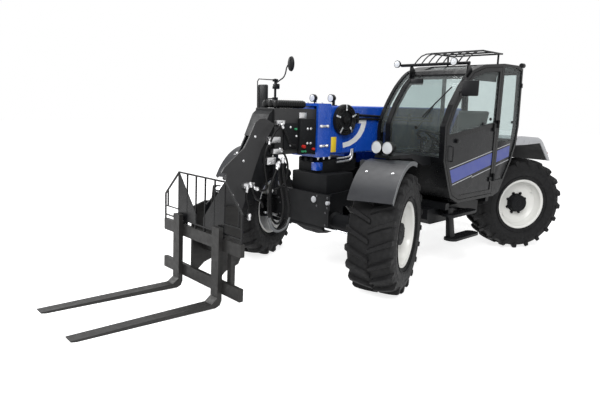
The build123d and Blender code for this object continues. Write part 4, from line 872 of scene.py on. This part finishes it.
def stripe(bm, y0, y1, skin, low, high):
    """A band on the cab's side, between two edges, each a height at STRIPE_Y and a slope."""
    (z_low, slope_low), (z_high, slope_high) = low, high
    outline = [(along(y), z_low + slope_low * (y - STRIPE_Y)) for y in (y0, y1)]
    outline += [(along(y), z_high + slope_high * (y - STRIPE_Y)) for y in (y1, y0)]
    plate(bm, outline, "x", skin, skin + 0.0012)


blue, silver, quarter = new_meshes(3)
stripe(blue, 0.905, 1.833, DOOR_SKIN, (1.036, 0.178), (1.19, 0.163))
stripe(silver, 0.905, 1.4, DOOR_SKIN, (1.01, 0.178), (1.019, 0.178))
stripe(silver, 1.4, 1.833, DOOR_SKIN, (1.036 - 0.045, 0.178), (1.036 - 0.036, 0.178))
stripe(silver, 0.905, 1.833, DOOR_SKIN, (1.207, 0.163), (1.216, 0.163))
made("door_stripe", blue, STRIPE_BLUE, "door")
made("door_lines", silver, SILVER_PAINT, "door")
blue, silver = new_meshes(2)
stripe(blue, 1.943, 2.268, POST_SKIN, (1.036, 0.178), (1.19, 0.163))
stripe(silver, 1.943, 2.268, POST_SKIN, (0.991, 0.178), (1.0, 0.178))
stripe(silver, 1.943, 2.268, POST_SKIN, (1.207, 0.163), (1.216, 0.163))
made("cab_stripe", blue, STRIPE_BLUE, "chassis")
made("cab_lines", silver, SILVER_PAINT, "chassis")
panel = [(1.942, 1.465), (1.942, 1.0), (2.13, 1.0), (2.28, 1.22), (2.38, 1.43), (2.388, 1.465)]
plate(quarter, side_view(panel), "x", 1.0885, 1.0922, 0.0008)
made("quarter_panel", quarter, "door_paint", "chassis")

trim = bmesh.new()
for y, z in ((1.545, 1.676), (1.712, 1.728)):
    rod(trim, (1.086, y, z), (1.104, y, z), 0.017, 20)
block(trim, (1.1, 0.985, 1.475), (1.118, 1.045, 1.52), 0.006)
block(trim, (1.099, 1.79, 1.585), (1.116, 1.83, 1.68), 0.006)
tube(
    "door_handle",
    [
        at(1.098, 0.905, 1.285), at(1.128, 0.902, 1.29), at(1.13, 0.898, 1.365), at(1.128, 0.894, 1.44),
        at(1.098, 0.891, 1.447),
    ],
    0.0075, BLACK, "door", False,
)
for z in (1.02, 1.65):
    for y in (-0.06, -0.03):
        hex_head(trim, at(1.108, 1.884 + y, z), LEFT, 0.009, 0.005)
made("door_trim", trim, "black_plastic", "door")
trim = bmesh.new()
rod(trim, (1.084, 2.268, 1.69), (1.104, 2.268, 1.69), 0.016, 20)
block(trim, (1.1, 2.395, 2.105), (1.112, 2.425, 2.16), 0.004)
rod(trim, (1.085, 2.38, 2.372), (1.085, 2.445, 2.372), 0.03, 24)
made("cab_trim", trim, "black_plastic", "chassis", 40)

wiper = bmesh.new()
rod(wiper, (0.74, 0.8, 1.64), (0.905, 0.858, 1.905), 0.006)
rod(wiper, (0.78, 0.8, 1.745), (0.995, 0.995, 2.066), 0.007)
rod(wiper, (0.728, 0.79, 1.628), (0.728, 0.768, 1.628), 0.018, 20)
made("wiper", wiper, "black_plastic", "chassis")
inside = bmesh.new()
block(inside, (0.4, 1.085, 2.095), (0.56, 1.11, 2.165), 0.01)
rod(inside, (0.48, 1.105, 2.15), (0.48, 1.17, 2.205), 0.006)
block(inside, (1.052, 1.33, 2.15), (1.066, 1.83, 2.245), 0.006)
made("cab_inside", inside, "black_plastic", "chassis", 40)

# ---------------------------------------------------------------- boom side

bolts, signs, band = new_meshes(3)
for y in (-0.15, -0.06):
    for z in (1.42, 1.625):
        for hand in (1, -1):
            hex_head(bolts, at(hand * 0.2025, y, z), (hand, 0, 0), 0.018, 0.014)
for x in (-0.11, 0.11):
    for y in (-0.15, -0.06):
        hex_head(bolts, at(x, y, 1.858), (0, 0, 1), 0.015, 0.012)
for z in (1.42, 1.625):
    block(bolts, (0.198, -0.175, z - 0.012), (0.203, -0.035, z + 0.012), 0.001)
for y in (-0.17, -0.085, 0.0):
    hex_head(bolts, at(0.165, y + 0.02, 1.3015), (0, 0, -1), 0.02, 0.03)
made("collar_bolts", bolts, ZINC, "boom")
block(signs, (0.1795, 0.02, 1.345), (0.183, 0.1, 1.508), 0.001)
made("boom_sign", signs, SIGN_YELLOW, "boom")
# the plain white band that curves down the boom's side
arc = [(0.592, 1.69), (0.585, 1.64), (0.56, 1.57), (0.505, 1.5), (0.43, 1.445), (0.33, 1.405), (0.215, 1.385)]
inner_arc = [
    (0.205, 1.44), (0.3, 1.455), (0.38, 1.49), (0.445, 1.54), (0.49, 1.605), (0.505, 1.65), (0.44, 1.65),
    (0.44, 1.69),
]
plate(band, side_view(arc + inner_arc), "x", 0.1798, 0.1812)
made("boom_band", band, WHITE_PAINT, "boom")
DRUM = (0.19, 1.69)
drum, buckles = new_meshes(2)
for radius in (0.15, 0.128, 0.106):
    matrix = Matrix.Translation(at(0.234, *DRUM))
    coil = [(x, radius + rise) for x, rise in ring_points(0.008, 10)]
    lathe(drum, coil, 60, close=True, matrix=matrix)
lathe(
    drum, [(0.226, 0.046), (0.244, 0.042), (0.248, 0.03), (0.248, 0.004)], 32,
    matrix=Matrix.Translation(at(0, *DRUM)),
)
for k in range(5):
    turn = Matrix.Translation(at(0.236, *DRUM)) @ Matrix.Rotation(k * tau / 5 + 0.35, 4, "X")
    box_into(buckles, (0, 0.096, -0.01), (0.009, 0.166, 0.01), 0.002, turn)
    hex_head(buckles, turn @ Vector((0.006, 0.112, 0)), LEFT, 0.009, 0.008)
made("drum_windings", drum, HOSE, "boom", 40)
made("drum_buckles", buckles, ZINC, "boom")
side_tube(
    "return_pipe", 0.205, [(0.345, 1.375), (0.345, 1.285), (0.318, 1.255), (0.275, 1.243), (0.094, 1.238)],
    0.013, ZINC, "boom",
)
side_tube(
    "feed_pipe", 0.225, [(0.3, 1.375), (0.298, 1.31), (0.262, 1.285), (0.08, 1.28)], 0.009, ZINC, "boom",
)
side_tube(
    "boom_hose_run", 0.1915, [(0.33, 1.745), (0.52, 1.738), (1.1, 1.715), (1.9, 1.705)], 0.013, HOSE, "boom",
)
side_tube(
    "boom_hose_run_low", 0.1915, [(0.345, 1.7), (0.56, 1.7), (1.15, 1.682), (1.9, 1.672)], 0.011, HOSE,
    "boom",
)
saddles = bmesh.new()
for y in (0.42, 0.9, 1.4, 1.85):
    block(saddles, (0.1795, y - 0.016, 1.655), (0.2055, y + 0.016, 1.765), 0.004)
made("boom_saddles", saddles, "black_plastic", "boom")

# ---------------------------------------------------------------- valves and hoses on the boom's inner stage

valve, heads, fins = new_meshes(3)
block(valve, (0.1502, -0.445, 1.345), (0.196, -0.235, 1.7), 0.006)
block(valve, (0.1502, -0.64, 1.4), (0.176, -0.45, 1.66), 0.008)
for z in (1.455, 1.602):
    for y in (-0.345, -0.3):
        hex_head(heads, at(0.196, y, z), LEFT, 0.014, 0.014)
for y, z in ((-0.56, 1.44), (-0.56, 1.62), (-0.48, 1.53)):
    hex_head(heads, at(0.176, y, z), LEFT, 0.012, 0.01)
block(heads, (0.1502, -0.43, 1.702), (0.16, -0.33, 1.762), 0.002)
for x in (-0.085, 0.0, 0.085):
    matrix, length = oriented(at(x, -0.69, 1.842), at(x, -0.3, 1.842))
    ribs = [(0.0, 0.02), (0.004, 0.034)]
    for k in range(16):
        ribs += [(0.012 + k * 0.0235, 0.04), (0.022 + k * 0.0235, 0.034)]
    lathe(fins, ribs + [(length - 0.004, 0.034), (length, 0.02)], 24, matrix=matrix)
made("valve_block", valve, "axle_iron", "boom_extension", 30)
made("valve_heads", heads, ZINC, "boom_extension")
made("hose_sleeves", fins, HOSE, "boom_extension", 50)
spots = bmesh.new()
rod(spots, (0.196, -0.41, 1.425), (0.232, -0.41, 1.425), 0.017, 20)
rod(spots, (0.196, -0.27, 1.395), (0.226, -0.27, 1.395), 0.012, 20)
made("caps_red", spots, CAP_RED, "boom_extension")
spots = bmesh.new()
for y in (-0.42, -0.385):
    rod(spots, (0.196, y, 1.375), (0.222, y, 1.375), 0.01, 16)
rod(spots, (0.176, -0.5, 1.6), (0.2, -0.5, 1.6), 0.012, 16)
made("caps_green", spots, CAP_GREEN, "boom_extension")

HEAD_HOSES = [  # radius, x, then (y, z) points
    (
        0.012, 0.255, (-0.79, 1.24), (-0.85, 1.13), (-0.892, 1.0), (-0.9, 0.855), (-0.867, 0.683),
        (-0.772, 0.607), (-0.65, 0.655), (-0.617, 0.822), (-0.662, 0.987), (-0.714, 1.197), (-0.722, 1.3),
    ),
    (
        0.0115, 0.228, (-0.765, 1.24), (-0.815, 1.12), (-0.85, 1.0), (-0.858, 0.86), (-0.825, 0.725),
        (-0.765, 0.665), (-0.7, 0.705), (-0.668, 0.85), (-0.705, 1.0), (-0.745, 1.15), (-0.748, 1.26),
    ),
    (
        0.0115, 0.215, (-0.862, 1.48), (-0.905, 1.42), (-0.925, 1.3), (-0.905, 1.18), (-0.88, 1.06),
        (-0.93, 1.01), (-1.01, 1.05),
    ),
    (0.0105, 0.2, (-0.7, 1.4), (-0.64, 1.35), (-0.6, 1.23), (-0.62, 1.09), (-0.7, 1.02), (-0.82, 1.01)),
    (0.0115, 0.205, (-0.69, 1.63), (-0.64, 1.56), (-0.6, 1.48), (-0.56, 1.44), (-0.52, 1.44)),
    (0.0115, 0.232, (-0.72, 1.65), (-0.79, 1.6), (-0.835, 1.54), (-0.862, 1.49)),
    (0.0105, 0.235, (-1.14, 1.05), (-1.15, 0.98), (-1.125, 0.9), (-1.11, 0.8)),
    (0.0105, 0.215, (-1.08, 1.09), (-1.05, 1.0), (-1.0, 0.94), (-0.95, 0.93), (-0.93, 0.86)),
]
for index, (radius, x, *points) in enumerate(HEAD_HOSES):
    side_tube(f"head_hose_{index}", x, points, radius, HOSE, "boom_extension")
sleeve = (
    (-0.888, 0.76), (-0.867, 0.683), (-0.825, 0.628), (-0.772, 0.607), (-0.7, 0.622), (-0.65, 0.66),
    (-0.628, 0.73),
)
side_tube("hose_sheath", 0.255, sleeve, 0.0165, SHEATH_AND_HIGHLIGHT_GREY, "boom_extension")
ends = bmesh.new()
for x, start, end, radius in (
    (0.255, (-0.775, 1.262), (-0.8, 1.222), 0.017),
    (0.255, (-0.724, 1.335), (-0.72, 1.28), 0.017),
    (0.228, (-0.76, 1.285), (-0.768, 1.225), 0.015),
    (0.228, (-0.748, 1.3), (-0.747, 1.24), 0.015),
    (0.215, (-0.85, 1.51), (-0.868, 1.46), 0.015),
    (0.215, (-0.99, 1.042), (-1.045, 1.065), 0.015),
    (0.2, (-0.73, 1.42), (-0.685, 1.388), 0.014),
    (0.2, (-0.8, 1.012), (-0.855, 1.006), 0.014),
    (0.205, (-0.705, 1.655), (-0.68, 1.612), 0.015),
    (0.232, (-0.7, 1.665), (-0.735, 1.64), 0.015),
    (0.235, (-1.135, 1.085), (-1.143, 1.03), 0.014),
    (0.235, (-1.11, 0.825), (-1.112, 0.765), 0.017),
    (0.215, (-1.09, 1.12), (-1.074, 1.07), 0.014),
):
    rod(ends, (x, *start), (x, *end), radius, 16)
    matrix, length = oriented(at(x, *start), at(x, *end))
    lathe(ends, [(length * 0.15, radius * 1.35), (length * 0.45, radius * 1.35)], 6, matrix=matrix)
for y, z, width, height in (
    (-0.815, 1.3, 0.11, 0.07), (-0.78, 1.5, 0.15, 0.06), (-0.735, 1.39, 0.12, 0.05),
    (-1.08, 1.085, 0.13, 0.045), (-0.7, 1.665, 0.1, 0.045),
):
    block(ends, (0.1485, y - width / 2, z - height / 2), (0.2, y + width / 2, z + height / 2), 0.006)
for y, z in ((-0.979, 1.535), (-1.19, 1.392), (-1.116, 1.313), (-1.24, 1.0), (-1.18, 0.9)):
    hex_head(ends, at(0.1483, y, z), LEFT, 0.013, 0.01)
made("hose_ends", ends, ZINC, "boom_extension", 34)

# ---------------------------------------------------------------- under the boom, the cab's side by it

tray, blues = new_meshes(2)
block(tray, (-0.272, -0.12, 0.88), (0.272, 0.3, 1.12), 0.012)
block(tray, (-0.24, -0.06, 1.115), (0.15, 0.48, 1.262), 0.016)
for x in (-0.18, -0.09, 0.0, 0.09):
    rod(tray, (x, -0.09, 1.255), (x, 0.02, 1.255), 0.024, 18)
block(blues, (0.06, -0.15, 1.15), (0.15, -0.06, 1.24), 0.01)
made("valve_tray", tray, "axle_iron", "chassis", 40)
made("valve_caps", blues, "boom_paint", "chassis")

FRONT_LINE = [
    (0.77, 1.29), (0.754, 1.654), (0.868, 1.876), (1.033, 2.088), (1.23, 2.253), (1.48, 2.326),
    (1.925, 2.364), (2.085, 2.364),
]


def inset_line(line, depth):
    """A line moved sideways, to its right as it runs."""
    out = []
    for k, point in enumerate(line):
        before, after = Vector(line[max(k - 1, 0)]), Vector(line[min(k + 1, len(line) - 1)])
        run = (after - before).normalized()
        out.append(tuple(Vector(point) + Vector((run.y, -run.x)) * depth))
    return out


skin_line = rounded_profile(FRONT_LINE, 0.1, 4)
shoulder = bmesh.new()
ring = skin_line + inset_line(skin_line, 0.058)[::-1]
plate(shoulder, side_view(ring), "x", 0.212, 0.252)
roof_line = [point for point in skin_line if point[1] > 2.235]
roof = roof_line + inset_line(roof_line, 0.04)[::-1]
plate(shoulder, side_view(roof), "x", 0.212, 0.33)
block(shoulder, (0.212, 0.775, 1.29), (0.33, 2.09, 1.332), 0.003)
block(shoulder, (0.212, 2.05, 1.3), (0.252, 2.09, 2.362), 0.003)
made("cab_shoulder", shoulder, "cab_paint", "chassis", 30)
shoulder_glass = bmesh.new()
pane_line = [point for point in skin_line if 1.31 < point[1] < 2.25]
front = inset_line(pane_line, 0.016) + inset_line(pane_line, 0.022)[::-1]
plate(shoulder_glass, side_view(front), "x", 0.253, 0.33)
side_pane = inset_line(skin_line, 0.06)
side_ring = side_pane + [(2.048, 1.334), (0.835, 1.334)]
plate(shoulder_glass, side_view(side_ring), "x", 0.222, 0.227)
made("shoulder_glass", shoulder_glass, "tinted_glass", "chassis")

# ---------------------------------------------------------------- nose, fenders and hood

nose, caps = new_meshes(2)
for x in (-0.385, -0.23, 0.23, 0.385):
    for z in (0.795, 0.9):
        hex_head(nose, at(x, -0.215, z), FORWARD, 0.014, 0.01)
for x in (-0.36, 0.36):
    for z in (0.61, 0.74):
        hex_head(nose, at(x, -0.215, z), FORWARD, 0.012, 0.009)
lathe(
    caps, [(0.0, 0.034), (0.01, 0.034), (0.016, 0.026), (0.018, 0.01)], 28,
    matrix=facing(at(0.185, -0.215, 0.858), FORWARD),
)
lathe(
    caps, [(0.0, 0.02), (0.03, 0.02), (0.034, 0.014)], 20, matrix=facing(at(0.402, -0.215, 0.85), FORWARD),
)
made("nose_bolts", nose, DARK_FASTENER, "chassis")
made("nose_caps", caps, SILVER_PAINT, "chassis")

for corner in ("front_left", "front_right"):
    matrix = corner_matrix(corner)
    repaint(f"fender_{corner}", FENDER_GREY)
    trim, fasteners = new_meshes(2)
    # painted highlight: a thin light grey arc on the fender's outer face at its edge, where light glints
    # along the rim
    ring = []
    for k in range(25):
        bend = radians(34 + k * 74 / 24)
        for radius in (0.7225, 0.6795):
            ring.append((radius, bend))
    pairs = [
        [trim.verts.new((x, -radius * cos(bend), radius * sin(bend))) for x in (0.4115, 0.4145)]
        for radius, bend in ring
    ]
    for k in range(0, len(pairs) - 2, 2):
        a, b, c, d = pairs[k], pairs[k + 1], pairs[k + 3], pairs[k + 2]
        for first, second in ((b, c), (d, a)):
            trim.faces.new((first[0], second[0], second[1], first[1]))
        trim.faces.new((a[0], d[0], c[0], b[0]))
        trim.faces.new((a[1], b[1], c[1], d[1]))
    for across in (0.075, 0.325):
        bend = radians(62)
        place = Vector((across, -0.722 * cos(bend), 0.722 * sin(bend)))
        hex_head(fasteners, place, (0, -cos(bend), sin(bend)), 0.013, 0.008)
    for bm in (trim, fasteners):
        bmesh.ops.remove_doubles(bm, verts=bm.verts, dist=0.00001)
        bmesh.ops.transform(bm, matrix=matrix, verts=bm.verts)
    # the light grey arc is a painted highlight, not a separate part
    made(f"fender_edge_painted_highlight_{corner}", trim, SHEATH_AND_HIGHLIGHT_GREY, f"knuckle_{corner}")
    made(f"fender_bolts_{corner}", fasteners, ZINC, f"knuckle_{corner}")

catches, mesh_bars = new_meshes(2)
for y in (1.1, 1.85):
    block(catches, (-1.112, y - 0.03, 1.085), (-1.1, y + 0.03, 1.16), 0.004)
made("hood_catches", catches, "black_plastic", "chassis")
for k in range(30):
    z = 0.785 + k * 0.0087
    block(mesh_bars, (-1.09, 1.02, z), (-1.086, 2.09, z + 0.003))
made("bay_mesh", mesh_bars, "chassis_paint", "chassis", 0)

# ---------------------------------------------------------------- stage, light and camera


def either(tree, first, second):
    """The larger of two values."""
    node = add_node(tree, "Math", first)
    node.operation = "MAXIMUM"
    tree.links.new(second, node.inputs[1])
    return node.outputs["Value"]


def seen(tree):
    """1 for camera rays, and for those that come by a reflection or through glass."""
    rays = add_node(tree, "LightPath").outputs
    indirect = either(tree, rays["Is Glossy Ray"], rays["Is Transmission Ray"])
    return either(tree, rays["Is Camera Ray"], indirect)


def build_stage():
    """A pale floor that glows only to the camera, in reflections and through glass."""
    bm = bmesh.new()
    bmesh.ops.create_grid(bm, x_segments=1, y_segments=1, size=40)
    mesh = bpy.data.meshes.new("floor")
    bm.to_mesh(mesh)
    bm.free()
    floor = placed("floor", mesh)
    floor.location.z = -0.001
    material, tree, shader = new_material("floor")
    tree.nodes.remove(shader)
    diffuse = add_node(tree, "BsdfDiffuse", values={"Color": (0.62, 0.62, 0.62, 1)}).outputs["BSDF"]
    glow = add_node(tree, "Emission", values={"Color": (1, 1, 1, 1), "Strength": 0.8})
    both = add_node(tree, "AddShader", diffuse)
    tree.links.new(glow.outputs["Emission"], both.inputs[1])
    blend(tree, seen(tree), diffuse, both.outputs["Shader"])
    mesh.materials.append(material)


def build_world():
    """White to the camera and to reflections, dimmer as a light."""
    world = bpy.data.worlds.new("studio")
    bpy.context.scene.world = world
    world.use_nodes = True
    tree = world.node_tree
    background = tree.nodes["Background"]
    level = add_node(tree, "MapRange", seen(tree), {"To Min": 0.42, "To Max": 1.0})
    tree.links.new(level.outputs["Result"], background.inputs["Strength"])
    background.inputs["Color"].default_value = (1, 1, 1, 1)


def add_lamp(name, place, target, size, power):
    """A soft area lamp aimed at a point."""
    data = bpy.data.lights.new(name, "AREA")
    data.shape = "RECTANGLE"
    data.size, data.size_y = size
    data.energy = power
    lamp = placed(name, data)
    lamp.location = place
    lamp.rotation_euler = (Vector(target) - Vector(place)).to_track_quat("-Z", "Y").to_euler()


def build_camera():
    """The camera at the photograph's place."""
    data = bpy.data.cameras.new("camera")
    data.sensor_width = 36
    data.lens = CAMERA_LENS
    data.shift_y = CAMERA_SHIFT
    camera = placed("camera", data)
    azimuth = Matrix.Rotation(radians(CAMERA_AZIMUTH), 4, "Z")
    turn = azimuth @ Matrix.Rotation(radians(90 - CAMERA_DOWN), 4, "X")
    place = Matrix.Translation((CAMERA_PLACE[0], along(CAMERA_PLACE[1]), CAMERA_PLACE[2]))
    camera.matrix_world = place @ turn @ Matrix.Rotation(radians(CAMERA_ROLL), 4, "Z")
    bpy.context.scene.camera = camera


CAMERA_PLACE = (3.992, -3.982, 1.847)  # Y from the front axle
CAMERA_LENS, CAMERA_SHIFT = 30.79, 0.003
CAMERA_AZIMUTH, CAMERA_DOWN, CAMERA_ROLL = 46.87, 10.79, 1.43

build_stage()
build_world()
add_lamp("key", (5.5, -7.0, 7.5), (0, -0.5, 0.8), (5.0, 4.0), 900)
add_lamp("fill", (-7.0, -4.0, 5.0), (0, 0, 0.8), (4.0, 4.0), 350)
add_lamp("top", (0.0, 1.0, 8.5), (0, 0.5, 0), (6.0, 6.0), 500)
build_camera()
bpy.context.scene.view_settings.view_transform = "Standard"
